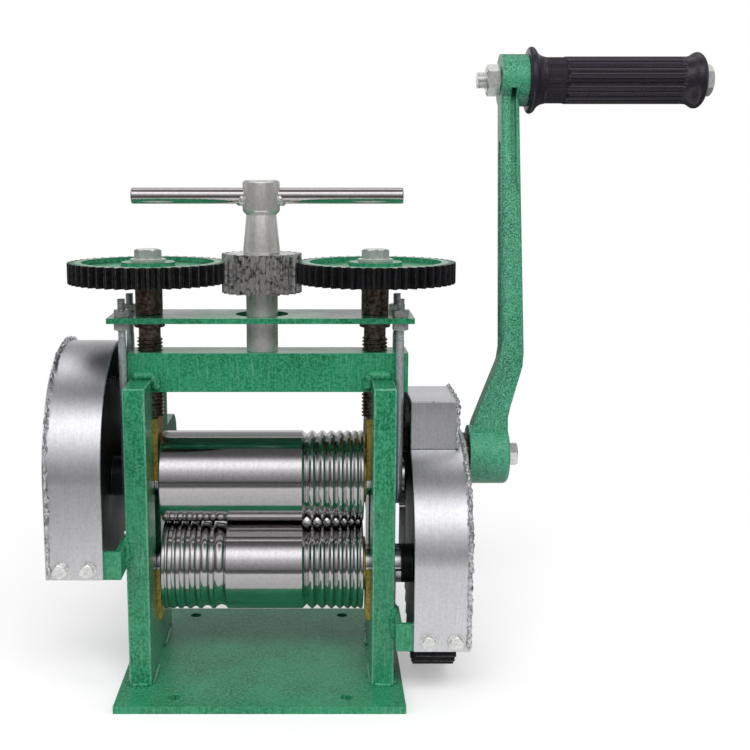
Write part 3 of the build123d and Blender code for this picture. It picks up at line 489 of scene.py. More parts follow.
# A closed threaded bar whose rows follow the helix
def threadMesh(name, axis, spot, low, high, outer, inner, pitch, sides=40):
    heights = (0, 0, 0.5, 1, 1, 1, 0.5, 0)
    steps = len(heights)
    rows = int((high - low) / pitch * steps) + 2 * steps + 2
    points, faces = [], []
    for row in range(rows):
        for side in range(sides):
            along = low - pitch + pitch * (row / steps + side / sides)
            held = min(max(along, low), high)
            radius = inner + (outer - inner) * (heights[row % steps] if held == along else 0)
            points.append(onAxis(axis, spot, held, radius, 2 * math.pi * side / sides))
    for row in range(rows - 1):
        for side in range(sides - 1):
            here, above = row * sides + side, (row + 1) * sides + side
            faces.append((here, here + 1, above + 1, above))
        if row + steps + 1 < rows:
            faces.append((
                (row + 1) * sides - 1, (row + steps) * sides, (row + steps + 1) * sides, (row + 2) * sides - 1,
            ))
    return meshFrom(name, points, faces, 1e-7)


# A hexagon nut or bolt head with the corners turned off at 30 degrees
def hexMesh(name, axis, spot, low, high, flats, bore=0.0, turn=0.0, rounding=(True, True), dish=0.0):
    sides = 72
    circle = flats / 2 * 0.96
    rings = []

    def flatRadius(angle):
        local = (math.degrees(angle) - turn + 30) % 60 - 30
        return flats / 2 / math.cos(math.radians(local))

    for end, sign, cut in ((low, 1, rounding[0]), (high, -1, rounding[1])):
        outerRing, rim, centre = [], [], []
        for angle in anglesRound(sides):
            radius = flatRadius(angle)
            drop = max(0.0, radius - circle) * math.tan(math.radians(30)) if cut else 0.0
            outerRing.append(onAxis(axis, spot, end + sign * drop, radius, angle))
            rim.append(onAxis(axis, spot, end, circle if cut else radius * 0.999, angle))
            centre.append(onAxis(axis, spot, end + sign * dish, bore, angle))
        rings += [centre, rim, outerRing] if sign > 0 else [outerRing, rim, centre]
    points = [point for ring in rings for point in ring]
    return meshFrom(name, points, rowFaces(len(rings), sides, bore > 0))


def joined(name, meshes):
    work = bmesh.new()
    for mesh in meshes:
        work.from_mesh(mesh)
    whole = bpy.data.meshes.new(name)
    work.to_mesh(whole)
    work.free()
    return whole


# Turns a piece's modifiers into its mesh
def applied(piece):
    bpy.context.view_layer.update()
    piece.data = bpy.data.meshes.new_from_object(piece.evaluated_get(bpy.context.evaluated_depsgraph_get()))
    piece.modifiers.clear()
    return piece.data


# A copy of a CAD node with flat faces joined, its edges bevelled and its faces given materials
def dressed(node, materials, bevel=0.5, steps=2, edge=None, pick=None, sharp=32.0):
    source = frame["nodes"][node]
    mesh = source.data.copy()
    mesh.name = f"{node}_dressed"
    mesh.materials.clear()
    work = bmesh.new()
    work.from_mesh(mesh)
    bmesh.ops.remove_doubles(work, verts=work.verts, dist=2e-6)
    bmesh.ops.dissolve_limit(work, angle_limit=math.radians(0.5), verts=work.verts, edges=work.edges)
    work.to_mesh(mesh)
    work.free()
    for made in materials:
        mesh.materials.append(made)
    piece = placed(f"{node}_dressed", mesh)
    if bevel:
        cut = piece.modifiers.new("bevel", "BEVEL")
        cut.width = bevel * mm
        cut.segments = steps
        cut.limit_method = "ANGLE"
        cut.angle_limit = math.radians(35)
        cut.use_clamp_overlap = True
        if edge is not None:
            cut.material = edge
        mesh = applied(piece)
    if pick:
        for face in mesh.polygons:
            if edge is None or face.material_index != edge:
                face.material_index = pick(face.center / mm, face.normal)
    mesh.shade_smooth()
    mesh.set_sharp_from_angle(angle=math.radians(sharp))
    weighted = piece.modifiers.new("normals", "WEIGHTED_NORMAL")
    weighted.keep_sharp = True
    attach(piece, source["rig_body"])
    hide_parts(node)
    return piece


# Irregular melted lumps: each spot is x, y, z and the lump's radius along x, y and z
def lumpMesh(name, spots, seed, roughness=0.35):
    picker = random.Random(seed)
    parts = []
    for index, (x, y, z, rx, ry, rz) in enumerate(spots):
        work = bmesh.new()
        bmesh.ops.create_icosphere(work, subdivisions=3, radius=1.0)
        angle = picker.uniform(-0.6, 0.6)
        turn = Matrix.Rotation(angle, 4, Vector([picker.random() for _ in range(3)]).normalized())
        offset = Vector((index * 7.3, seed * 3.1, 0))
        for vert in work.verts:
            broad, fine = noise.noise(vert.co * 1.7 + offset), noise.noise(vert.co * 5 + offset)
            at = turn @ (vert.co * (1 + roughness * broad + 0.25 * roughness * fine))
            vert.co = Vector((x + at.x * rx, y + at.y * ry, z + at.z * rz)) * mm
        mesh = bpy.data.meshes.new("lump")
        work.to_mesh(mesh)
        work.free()
        parts.append(mesh)
    return joined(name, parts)


# A weld bead along a line of points, rippled like a row of overlapping pools
def beadMesh(path, radius, ripple, seed):
    line = [Vector(spot) for spot in path]
    lengths = [0.0]
    for before, after in zip(line, line[1:]):
        lengths.append(lengths[-1] + (after - before).length)
    total = lengths[-1]
    count = max(8, int(total / ripple * 5))
    sides = 14
    points = []
    for row in range(count + 1):
        travelled = total * row / count
        run = max(i for i, value in enumerate(lengths[:-1]) if value <= travelled + 1e-9)
        share = (travelled - lengths[run]) / (lengths[run + 1] - lengths[run])
        centre = line[run].lerp(line[run + 1], min(1.0, share))
        ahead = (line[run + 1] - line[run]).normalized()
        side = ahead.cross(Vector((0.3, 0.2, 1))).normalized()
        up = side.cross(ahead)
        pool = 0.86 + 0.14 * abs(math.cos(math.pi * travelled / ripple))
        wander = 1 + 0.22 * noise.noise(Vector((travelled * 0.25, seed, 0)))
        taper = math.sqrt(max(0.0, 1 - (2 * row / count - 1) ** 12))
        for angle in anglesRound(sides):
            skin = noise.noise(Vector((math.cos(angle), math.sin(angle), travelled * 0.6 + seed)))
            size = radius * pool * wander * taper * (1 + 0.12 * skin)
            points.append(tuple(centre + (side * math.cos(angle) + up * math.sin(angle)) * size))
    return meshFrom("bead", points, rowFaces(count + 1, sides))


print("stage: materials and helpers")

# Frame
bothSides = (("left", -1), ("right", 1))
painted = [framePaint, wornPaint]
for node in ("left_front_upright", "right_front_upright", "left_rear_upright", "right_rear_upright", "crossbar"):
    dressed(node, painted, bevel=0.8, steps=3, edge=1)
dressed("base_plate", painted, bevel=0.6, edge=1)
dressed("lift_plate", painted, bevel=0.35, edge=1)
for part in ("slot_block", "shaft_support", "front_bracket", "rear_bracket"):
    for side in ("left", "right"):
        dressed(f"{side}_{part}", painted, bevel=0.4, edge=1)
print("stage: frame")

# Painted welds on the frame: at the crossbar's ends, round the uprights' feet and at the front brackets.
# Each bead is a path, a radius and the length of a ripple.
paintedWelds = []
for sign in (-1, 1):
    for facing in (-1, 1):
        paintedWelds.append(([
            (sign * 71.0, facing * 12.2, 170.4), (sign * 60.0, facing * 12.4, 171.0),
            (sign * 57.8, facing * 11.9, 168.0), (sign * 57.6, facing * 11.7, 162.6),
        ], 2.9, 2.6))
        for x, z, radius in ((72.4, 4.6, 1.7), (59.6, 4.4, 1.3)):
            paintedWelds.append(([(sign * x, facing * 14.0, z), (sign * x, facing * 39.0, z)], radius, 2.4))
    paintedWelds.append(([(sign * 61.5, -41.3, 4.6), (sign * 71.0, -41.3, 4.6)], 1.5, 2.2))
for sign, low in ((-1, 70.4), (1, 31.0)):
    paintedWelds.append(([(sign * 71.6, -41.6, low + 0.5), (sign * 71.6, -41.6, low + 15.5)], 1.9, 2.0))
    paintedWelds.append(([(sign * 72.2, -32.0, low + 15.6), (sign * 72.2, -42.0, low + 15.8)], 1.9, 2.0))
beads = [beadMesh(*weld, index * 1.7) for index, weld in enumerate(paintedWelds)]
addPiece("painted_welds", joined("painted_welds", beads), [framePaint], "frame", (), 50.0)

# Brass blocks, bushes and washers
for node in ("left_upper_bearing", "right_upper_bearing", "left_lower_bearing", "right_lower_bearing"):
    dressed(node, [metal["brass"]], bevel=0.5)
for node in ("shaft_bushes", "upper_thrust_washers", "lower_thrust_washers"):
    dressed(node, [metal["brass"]], bevel=0.25)

# Rollers
rollers = {
    "radius": 25.5, "end": 56.0, "journal": 11.0, "journalEnd": 78.0, "seat": 9.0, "seatEnd": 108.0,
    "ringLow": 106.0, "ringHigh": 107.2, "ringFloor": 8.3,
    "vStart": 22.0, "vCount": 7, "vWidths": (5.0, 2.4), "vDepths": (2.3, 1.0), "vLand": 1.1,
    "wireWidths": (2.2, 2.8, 3.6, 4.2, 5.6, 7.2), "wireLand": 1.7, "wireDepth": 0.3,
}


# The outline from left to right of a roller whose gear is on the gearSign side
def rollerProfile(withWire, plainEnd, gearSign):
    radius, end = rollers["radius"], rollers["end"]
    face = [(-end, radius - 0.5), (-end + 0.15, radius - 0.15), (-end + 0.5, radius)]
    if withWire:
        start = -end + rollers["wireLand"]
        for width in rollers["wireWidths"]:
            depth = rollers["wireDepth"] * width
            rise = (width ** 2 / 4 - depth ** 2) / (2 * depth)
            half = math.asin(width / 2 / (depth + rise))
            for step in range(13):
                angle = -half + 2 * half * step / 12
                face.append((
                    start + width / 2 + (depth + rise) * math.sin(angle),
                    radius + rise - (depth + rise) * math.cos(angle),
                ))
            start += width + rollers["wireLand"]
    place = rollers["vStart"]
    for index in range(rollers["vCount"]):
        share = index / (rollers["vCount"] - 1)
        width = rollers["vWidths"][0] + share * (rollers["vWidths"][1] - rollers["vWidths"][0])
        depth = rollers["vDepths"][0] + share * (rollers["vDepths"][1] - rollers["vDepths"][0])
        face += [
            (place - 0.12, radius), (place + 0.10, radius - 0.10),
            (place + width / 2 - 0.12, radius - depth + 0.05), (place + width / 2 + 0.12, radius - depth + 0.05),
            (place + width - 0.10, radius - 0.10), (place + width + 0.12, radius),
        ]
        place += width + rollers["vLand"]
    face += [(end - 0.5, radius), (end - 0.15, radius - 0.15), (end, radius - 0.5)]
    journal, seat = rollers["journal"], rollers["seat"]
    geared = [
        (end, journal), (rollers["journalEnd"] - 0.4, journal), (rollers["journalEnd"], journal - 0.4),
        (rollers["journalEnd"], seat), (rollers["ringLow"], seat), (rollers["ringLow"], rollers["ringFloor"]),
        (rollers["ringHigh"], rollers["ringFloor"]), (rollers["ringHigh"], seat),
        (rollers["seatEnd"] - 0.8, seat), (rollers["seatEnd"], seat - 0.8), (rollers["seatEnd"], 0),
    ]
    plain = [(end, journal), (plainEnd - 0.5, journal), (plainEnd, journal - 0.5), (plainEnd, 0)]
    left, right = (geared, plain) if gearSign < 0 else (plain, geared)
    return [(-x, r) for x, r in reversed(left)] + face + right


for name, height, withWire, plainEnd, gearSign in (
    ("upper_roller", 111.3, False, 79.3, -1),
    ("lower_roller", 60.0, True, 74.6, 1),
):
    mesh = latheMesh(f"{name}_turned", rollerProfile(withWire, plainEnd, gearSign), "x", (0, height), 192)
    addPiece(f"{name}_turned", mesh, [metal["roller"]], name, (name,), 20.0)
print("stage: rollers")

# Gears
for node in ("left_drive_gear", "right_drive_gear", "left_crank_pinion", "right_crank_pinion", "idler_gear"):
    dressed(node, [metal["gear"], metal["gear_edge"]], bevel=0.25, edge=1)
dressed("adjusting_pinion", [metal["nickel"]], bevel=0.3, sharp=25.0)
screwX, gearTop = 62.125, 231.9
rim = {"inner": 36.2, "web": 36.5, "skin": 0.6, "depth": 2.5}


# The screw gears have a worn rim on top and paint on the web inside it
def screwGearMaterial(centre, normal):
    reach = math.hypot(abs(centre.x) - screwX, centre.y)
    if normal.z > 0.7 and reach > rim["inner"] and centre.z > gearTop - rim["skin"]:
        return 2
    if normal.z > 0.5 and reach < rim["web"]:
        return 3
    if reach < rim["inner"] + 0.1 and centre.z > gearTop - rim["depth"]:
        return 3
    return 0


for side in ("left", "right"):
    dressed(
        f"{side}_screw_gear",
        [metal["gear"], metal["gear_edge"], metal["gear_rim"], framePaint],
        bevel=0.25, edge=1, pick=screwGearMaterial,
    )

# Pressure screws with their thread, and the washer and bolt that hold each screw gear
screw = {
    "threadLow": 146.05, "threadHigh": 190.2, "threadRadius": 7.0, "coreRadius": 6.15, "pitch": 2.0,
    "stem": 6.0, "collarLow": 196.15, "collar": 8.5, "plateLow": 200.15, "plateHigh": 203.25, "neck": 5.95,
    "sleeve": 7.5, "gearLow": 220.6, "washerTop": 233.5, "washer": 9.6, "bore": 4.2,
    "headTop": 238.8, "flats": 13.0, "shank": 4.0,
}
stem, collar, sleeve, neck = (screw[part] for part in ("stem", "collar", "sleeve", "neck"))
stemFoot = screw["threadHigh"] - 0.1
screwProfile = [
    (stemFoot, 0), (stemFoot, stem), (screw["collarLow"], stem),
    (screw["collarLow"], collar - 0.4), (screw["collarLow"] + 0.35, collar),
    (screw["plateLow"] - 0.35, collar), (screw["plateLow"], collar - 0.4), (screw["plateLow"], neck),
    (screw["plateHigh"], neck), (screw["plateHigh"], sleeve - 0.3), (screw["plateHigh"] + 0.25, sleeve),
    (screw["gearLow"], sleeve), (screw["gearLow"], stem), (gearTop, stem), (gearTop, 0),
]
for side, sign in bothSides:
    spot = (sign * screwX, 0)
    thread = threadMesh("thread", "z", spot, screw["threadLow"], screw["threadHigh"],
                        screw["threadRadius"], screw["coreRadius"], screw["pitch"], 48)
    turned = latheMesh("stem", screwProfile, "z", spot, 64)
    addPiece(f"{side}_screw_turned", joined("screw", [thread, turned]), [metal["thread"]],
             f"{side}_screw", (f"{side}_pressure_screw",), 30.0)
    washer = washerMesh("z", spot, gearTop, screw["washerTop"], screw["bore"], screw["washer"])
    zincPiece(f"{side}_washer_turned", washer, f"{side}_screw", f"{side}_gear_washer")
    head = hexMesh("head", "z", spot, screw["washerTop"], screw["headTop"], screw["flats"], 0.0, 30.0, (False, True))
    shank = rodMesh("z", spot, screw["gearLow"] - 0.2, screw["washerTop"], screw["shank"], 32)
    zincPiece(f"{side}_bolt_turned", joined("bolt", [head, shank]), f"{side}_screw", f"{side}_gear_bolt")
print("stage: gears and screws")

# T handle: the spindle flares under its head, and the bar goes through the head off centre
tHandle = {
    "foot": 166.9, "footRadius": 6.0, "stemLow": 183.0, "stem": 8.65, "coneLow": 236.5, "waistHeight": 257.3,
    "waist": 8.2, "headLow": 259.3, "head": 10.15, "top": 275.8, "chamfer": 1.0,
    "barLeft": -70.3, "barRight": 76.9, "barRadius": 4.3, "barHeight": 267.5,
}
spindleProfile = rounded([
    (tHandle["foot"], 0), (tHandle["foot"], tHandle["footRadius"]), (tHandle["stemLow"], tHandle["footRadius"]),
    (tHandle["stemLow"], tHandle["stem"]), (tHandle["coneLow"], tHandle["stem"]), (tHandle["coneLow"], tHandle["head"]),
    (tHandle["waistHeight"], tHandle["waist"]), (tHandle["waistHeight"], tHandle["waist"] - 0.05),
    (tHandle["headLow"], tHandle["head"]), (tHandle["top"] - tHandle["chamfer"], tHandle["head"]),
    (tHandle["top"], tHandle["head"] - tHandle["chamfer"]), (tHandle["top"], 0),
], [0, 0, 0, 0, 0, 0.5, 1.2, 1.2, 1.2, 0.6, 0.6, 0])
addPiece("spindle_turned", latheMesh("spindle", spindleProfile, "z", (0, 0), 96), [metal["spindle"]],
         "t_handle", ("adjusting_spindle",), 30.0)
barProfile = rounded([
    (tHandle["barLeft"], 0), (tHandle["barLeft"], tHandle["barRadius"]),
    (tHandle["barRight"], tHandle["barRadius"]), (tHandle["barRight"], 0),
], [0, 1.0, 1.0, 0])
addPiece("t_bar_turned", latheMesh("bar", barProfile, "x", (0, tHandle["barHeight"]), 64), [metal["chrome"]],
         "t_handle", ("t_bar",), 30.0)
barWelds = []
for sign in (-1, 1):
    barWelds += [
        (sign * 10.6, -2.4, 263.9, 1.9, 1.7, 1.6), (sign * 10.6, 2.4, 263.9, 1.9, 1.7, 1.6),
        (sign * 11.2, 0.0, 263.3, 2.2, 2.2, 1.3), (sign * 10.3, -4.0, 266.0, 1.3, 1.0, 1.8),
    ]
addPiece("t_bar_welds", lumpMesh("t_bar_welds", barWelds, 5, 0.25), [metal["spindle"]],
         "t_handle", (), 60.0)
print("stage: t handle")

# Stirrups, their threads and nuts
stirrup = {
    "x": 75.15, "y": 14.5, "radius": 2.2, "core": 1.85, "top": 213.0, "bend": 112.55, "threadLow": 190.0,
    "pitch": 0.8, "nutLows": (196.2, 203.2), "nutHeight": 4.0, "flats": 8.0,
}


# The wire of one stirrup: down at the front, round under the bearing and up at the back
def stirrupWire(x):
    y, bend, top, turns, sides = stirrup["y"], stirrup["bend"], stirrup["threadLow"] + 0.4, 24, 24
    path = [Vector((x, -y, top))]
    for step in range(turns + 1):
        angle = math.pi * step / turns
        path.append(Vector((x, -y * math.cos(angle), bend - y * math.sin(angle))))
    path.append(Vector((x, y, top)))
    points = []
    out = Vector((1, 0, 0))
    for index, here in enumerate(path):
        ahead = (path[min(index + 1, len(path) - 1)] - path[max(index - 1, 0)]).normalized()
        up = ahead.cross(out)
        for angle in anglesRound(sides):
            points.append(tuple(here + (out * math.cos(angle) + up * math.sin(angle)) * stirrup["radius"]))
    return meshFrom("wire", points, rowFaces(len(path), sides))


for side, sign in bothSides:
    x = sign * stirrup["x"]
    ends = [
        threadMesh("end", "z", (x, y), stirrup["threadLow"], stirrup["top"], stirrup["radius"], stirrup["core"],
                   stirrup["pitch"], 24)
        for y in (-stirrup["y"], stirrup["y"])
    ]
    addPiece(f"{side}_stirrup_bent", joined("stirrup", [stirrupWire(x), *ends]), [metal["galvanised"]],
             "lift", (f"{side}_lift_stirrup",), 40.0)
nuts = []
for x in (-stirrup["x"], stirrup["x"]):
    for y in (-stirrup["y"], stirrup["y"]):
        for low in stirrup["nutLows"]:
            turn = 10 * x + 7 * y + low  # no two nuts stand alike
            nuts.append(hexMesh("nut", "z", (x, y), low, low + stirrup["nutHeight"], stirrup["flats"],
                                stirrup["radius"], turn, dish=0.2))
zincPiece("lift_nuts", joined("nuts", nuts), "lift", "lift_rod_nuts")
print("stage: stirrups")

# Crank: the arm leans back from upright, and its grip is on a bolt at the top
crank = {
    "y": 75.0, "z": 105.5, "lean": 9.85, "radius": 234.0,
    "shaftLeft": -107.0, "shaft": 9.0, "collarLeft": 107.5, "collarRight": 124.4, "collar": 13.5,
    "tenon": 8.0, "tenonEnd": 148.0, "washerLeft": 149.0, "washerRight": 150.0, "washer": 9.0,
    "headRight": 155.3, "flats": 13.0, "shankLeft": 129.0, "shank": 4.0,
}
lean = math.radians(crank["lean"])
shaftSpot = (crank["y"], crank["z"])
gripSpot = (crank["y"] + crank["radius"] * math.sin(lean), crank["z"] + crank["radius"] * math.cos(lean))
armPiece = dressed("crank_arm", [crankPaint], bevel=0.5, sharp=38.0)

# The slot beside the rib on the front of the arm is deep at the boss and runs out below. Heights are along the arm.
armSlot = {
    "x": 151.9, "width": 3.4, "top": 231.0, "low": 150.0, "face": 10.0, "deep": 7.0, "clear": 0.2, "proud": 4.0,
}


def slotCutter(sides=24):
    front = Vector((0, -math.cos(lean), math.sin(lean)))
    up = Vector((0, math.sin(lean), math.cos(lean)))
    foot = Vector((0, *shaftSpot))
    outside, radius = armSlot["face"] + armSlot["clear"], armSlot["width"] / 2
    points = []
    for outer in (False, True):
        for angle in anglesRound(sides):
            along = (armSlot["top"] if math.sin(angle) >= 0 else armSlot["low"]) + math.sin(angle) * radius
            share = (along - armSlot["low"]) / (armSlot["top"] - armSlot["low"])
            floorDepth = outside - (armSlot["deep"] + armSlot["clear"]) * share
            spot = foot + up * along + front * (armSlot["face"] + armSlot["proud"] if outer else floorDepth)
            points.append((armSlot["x"] + math.cos(angle) * radius, spot.y, spot.z))
    ends = [tuple(reversed(range(sides))), tuple(range(sides, 2 * sides))]
    return meshFrom("slot_cutter", points, ends + rowFaces(2, sides))


cutter = placed("slot_cutter", slotCutter())
carve = armPiece.modifiers.new("carve", "BOOLEAN")
carve.operation, carve.solver, carve.object = "DIFFERENCE", "EXACT", cutter
armPiece.modifiers.move(1, 0)
applied(armPiece).set_sharp_from_angle(angle=math.radians(38))
bpy.data.objects.remove(cutter)

# Shaft with its collar, and the washer and bolt on the hub
shaft = latheMesh("shaft", [
    (crank["shaftLeft"], 0), (crank["shaftLeft"], crank["shaft"] - 0.5), (crank["shaftLeft"] + 0.5, crank["shaft"]),
    (crank["collarLeft"], crank["shaft"]), (crank["collarLeft"], crank["collar"] - 0.4),
    (crank["collarLeft"] + 0.4, crank["collar"]), (crank["collarRight"] - 0.4, crank["collar"]),
    (crank["collarRight"], crank["collar"] - 0.4), (crank["collarRight"], crank["tenon"]),
    (crank["tenonEnd"], crank["tenon"]), (crank["tenonEnd"], 0),
], "x", shaftSpot, 96)
addPiece("crank_shaft_turned", shaft, [metal["oiled"]], "crank", ("crank_shaft",))
hubParts = [
    washerMesh("x", shaftSpot, crank["washerLeft"], crank["washerRight"], crank["shank"], crank["washer"]),
    hexMesh("head", "x", shaftSpot, crank["washerRight"], crank["headRight"], crank["flats"], 0.0, 10.0, (False, True)),
    rodMesh("x", shaftSpot, crank["shankLeft"], crank["washerRight"], crank["shank"], 32),
]
zincPiece("crank_bolt_turned", joined("crank_bolt", hubParts), "crank", "crank_bolt")

# The grip's bolt, with its thread and nut on the inner side of the arm
gripBolt = {
    "left": 130.4, "threadRight": 146.0, "radius": 5.0, "core": 4.35, "pitch": 1.5, "headLeft": 271.7,
    "headRight": 277.0, "flats": 17.0, "nutLeft": 136.2, "nutRight": 144.6,
}
boltParts = [
    threadMesh("thread", "x", gripSpot, gripBolt["left"], gripBolt["threadRight"], gripBolt["radius"],
               gripBolt["core"], gripBolt["pitch"]),
    rodMesh("x", gripSpot, gripBolt["threadRight"] - 0.2, gripBolt["headLeft"], gripBolt["radius"], 40),
    hexMesh("head", "x", gripSpot, gripBolt["headLeft"], gripBolt["headRight"], gripBolt["flats"],
            rounding=(False, True)),
]
zincPiece("grip_bolt_turned", joined("grip_bolt", boltParts), "crank", "grip_bolt")
gripNut = hexMesh("grip_nut", "x", gripSpot, gripBolt["nutLeft"], gripBolt["nutRight"], gripBolt["flats"],
                  gripBolt["radius"], dish=0.5)
zincPiece("grip_nut_turned", gripNut, "crank", "grip_nut")

# The rubber grip: a flange, a band of fine pimples, raised ribs with flutes, and a flared end.
# Each flute or groove is its place between two ribs (0 to 1), its half width there and its depth.
grip = {
    "bandLeft": 172.8, "bandRight": 184.7, "bandRadius": 14.3, "pimplesRound": 44, "pimplePitch": 1.5,
    "pimpleHeight": 0.75, "ribsLeft": 185.0, "ribsRight": 259.0, "ribRadius": 14.5, "ribs": 12,
    "grooves": ((0.5, 0.22, 1.4), (0.02, 0.06, 0.7)),
}
gripProfile = [(161.7, 5.05), (161.7, 18.6), (162.2, 19.8), (163.0, 20.4), (164.0, 20.5), (165.0, 20.1),
               (165.9, 19.2), (166.8, 17.8), (168.0, 16.4), (169.6, 15.3), (171.4, 14.6), (172.6, 14.4)]
gripProfile += [(grip["bandLeft"] + 0.25 * step, grip["bandRadius"]) for step in range(48)]
gripProfile += [(grip["ribsLeft"] + 0.5 * step, grip["ribRadius"]) for step in range(149)]
gripProfile += [(260.0, 14.5), (261.5, 14.7), (263.0, 15.3), (264.4, 16.3), (265.6, 17.0), (266.8, 17.25),
                (268.2, 17.1), (269.4, 16.4), (270.4, 15.4), (271.1, 14.4), (271.4, 13.6), (271.4, 5.05)]


def gripRadius(along, radius, angle):
    if radius < 14 or along < grip["bandLeft"] or along > grip["ribsRight"] + 1:
        return radius
    if along < grip["bandRight"]:
        across = math.sin(angle * grip["pimplesRound"])
        lengthwise = math.sin((along - grip["bandLeft"]) * 2 * math.pi / grip["pimplePitch"])
        return radius - grip["pimpleHeight"] * (1 - max(0.0, across * lengthwise)) + 0.1 * across
    fade = min(1.0, max(0.0, (along - grip["ribsLeft"]) / 1.5), max(0.0, (grip["ribsRight"] - along) / 3.0))
    wave = (angle * grip["ribs"] / (2 * math.pi)) % 1.0
    groove = 0.0
    for middle, width, depth in grip["grooves"]:
        away = abs(wave - middle) / width
        if away < 1:
            groove = max(groove, depth * math.sqrt(1 - away ** 2))
    return radius - groove * fade


gripMesh = latheMesh("grip", gripProfile, "x", gripSpot, 288, gripRadius)
addPiece("grip_moulded", gripMesh, [gripRubber], "grip", ("handle_grip",), 50.0)
print("stage: crank and grip")

# Guards, with two bolts through the front of each
for node in ("left_gear_guard", "right_gear_guard", "idler_guard_box"):
    dressed(node, [metal["guard"], metal["weld"]], bevel=0.5, edge=1)
guardBolts = {
    "middle": 96.0, "shift": 7.1, "front": -60.0, "holes": {"left": 76.5, "right": 37.1}, "washer": 4.6, "bore": 2.1,
    "washerThick": 0.8, "headHeight": 3.0, "flats": 7.0, "shank": 2.0, "inside": 7.0,
}
for side, sign in bothSides:
    bolts, washers = [], []
    face = guardBolts["front"] - guardBolts["washerThick"]
    for shift in (-guardBolts["shift"], guardBolts["shift"]):
        spot = (sign * guardBolts["middle"] + shift, guardBolts["holes"][side])
        washers.append(washerMesh("y", spot, face, guardBolts["front"], guardBolts["bore"], guardBolts["washer"],
                                  48, (0.2, 0.1)))
        bolts.append(hexMesh("head", "y", spot, face - guardBolts["headHeight"], face, guardBolts["flats"],
                             0.0, 30.0 + 20 * shift, (True, False)))
        bolts.append(rodMesh("y", spot, face, guardBolts["front"] + guardBolts["inside"], guardBolts["shank"], 24))
    for name, meshes in (("bolts", bolts), ("washers", washers)):
        zincPiece(f"{side}_{name}_turned", joined(name, meshes), "frame", f"{side}_guard_{name}")


# Rough welds down the guards' outer edges: spots of lumps along a line, wandering a little and held within
# reach of the edge in X
def lumpsAlong(path, spacing, size, seed, reach):
    picker = random.Random(seed)
    spots = []
    for start, end in zip(path, path[1:]):
        run = Vector(end) - Vector(start)
        along = run.normalized()
        count = max(1, round(run.length / spacing))
        for step in range(count):
            at = Vector(start) + run * ((step + picker.uniform(0.2, 0.8)) / count)
            big = size * picker.uniform(0.65, 1.25)
            wide = reach * picker.uniform(0.7, 1.0)
            spots.append((
                at.x + picker.uniform(-0.3, 0.3), at.y, at.z,
                wide, big * (0.75 + 0.7 * abs(along.y)), big * (0.75 + 0.7 * abs(along.z)),
            ))
    return spots


def arcPath(x, centre, radius, first, last, steps):
    return [
        (x, centre[0] + radius * math.cos(math.radians(a)), centre[1] + radius * math.sin(math.radians(a)))
        for a in (first + (last - first) * step / steps for step in range(steps + 1))
    ]


guardWelds = {
    "left_guard_welds": {
        "path": [(-109.2, -60.0, 72.5), (-109.2, -60.0, 121.0), *arcPath(-109.2, (6, 121), 66.0, 176, 62, 12),
                 (-109.3, 87.0, 129.5)],
        "spacing": 6.0, "size": 2.6, "seed": 11, "reach": 1.3,
    },
    "right_guard_welds": {
        "path": [(110.2, -60.2, 33.0), (110.2, -60.2, 76.0), *arcPath(110.2, (0, 76), 60.2, 178, 8, 30),
                 (110.2, 59.8, 34.0)],
        "spacing": 3.8, "size": 2.0, "seed": 23, "reach": 1.6,
    },
    "box_welds": {
        "path": [(106.4, -21.8, 133.0), (106.4, -21.8, 157.6), (106.4, 24.0, 157.8), (106.4, 51.0, 150.0)],
        "spacing": 3.6, "size": 1.7, "seed": 31, "reach": 1.3,
    },
}
for name, weld in guardWelds.items():
    path, spacing, size, seed, reach = weld.values()
    spots = lumpsAlong(path, spacing, size, seed, reach)
    spots += lumpsAlong(path, spacing * 1.7, size * 0.6, seed + 5, reach * 1.1)  # smaller lumps between
    addPiece(name, lumpMesh(name, spots, seed), [metal["weld"]], "frame", (), 60.0)

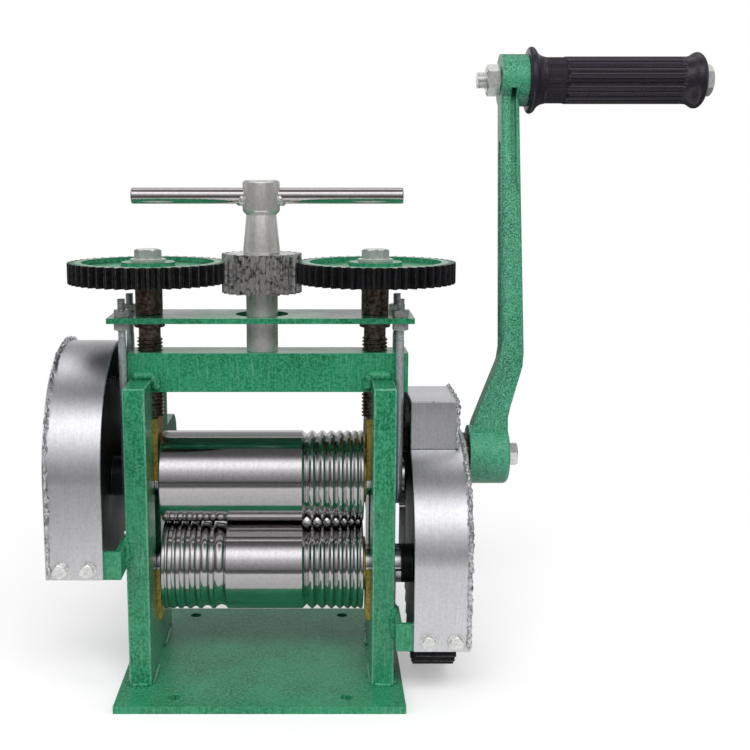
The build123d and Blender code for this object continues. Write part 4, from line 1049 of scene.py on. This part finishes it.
# Rings and the idler's stud, which the guards hide
for node in ("left_gear_ring", "right_gear_ring", "idler_ring", "idler_stud"):
    dressed(node, [metal["oiled"]], bevel=0.15)
print("stage: guards")

# Floor: the camera sees it fade to white, and everything else sees a grey that darkens far away
floorSettings = {
    "half": 6.0, "pale": 0.97, "whiteFrom": (0.16, 0.55), "white": (0.35, 1.0), "greyFrom": (0.34, 0.48),
    "grey": (0.62, 0.10),
}
floorMesh = bpy.data.meshes.new("floor")
half = floorSettings["half"]
floorMesh.from_pydata([(-half, -half, 0), (half, -half, 0), (half, half, 0), (-half, half, 0)], [], [(0, 1, 2, 3)])
floor = placed("floor", floorMesh)
floorPaint, floorTree = newMaterial("floor_paint")
floorRay = addNode(floorTree, "ShaderNodeLightPath")
floorPlace = addNode(floorTree, "ShaderNodeTexCoord").outputs["Object"]
floorReach = addNode(floorTree, "ShaderNodeVectorMath", {0: floorPlace}, operation="LENGTH").outputs["Value"]
floorFar, floorFade = (
    rangeNode(floorTree, floorReach, floorSettings[source], floorSettings[target], interpolation_type="SMOOTHSTEP")
    for source, target in (("whiteFrom", "white"), ("greyFrom", "grey"))
)
floorGrey = addNode(floorTree, "ShaderNodeCombineColor", {0: floorFade, 1: floorFade, 2: floorFade})
floorMatt = addNode(floorTree, "ShaderNodeBsdfDiffuse", {"Color": floorGrey.outputs["Color"]})
floorPale = addNode(floorTree, "ShaderNodeBsdfDiffuse", {"Color": (*[floorSettings["pale"]] * 3, 1)})
floorShine = addNode(floorTree, "ShaderNodeEmission", {"Color": (1, 1, 1, 1), "Strength": 1.0})
floorSeen = addNode(floorTree, "ShaderNodeMixShader", {0: floorFar, 1: floorPale.outputs[0], 2: floorShine.outputs[0]})
floorMix = addNode(floorTree, "ShaderNodeMixShader", {
    0: floorRay.outputs["Is Camera Ray"], 1: floorMatt.outputs[0], 2: floorSeen.outputs[0],
})
addNode(floorTree, "ShaderNodeOutputMaterial", {"Surface": floorMix.outputs[0]})
floorMesh.materials.append(floorPaint)

print("stage: done")
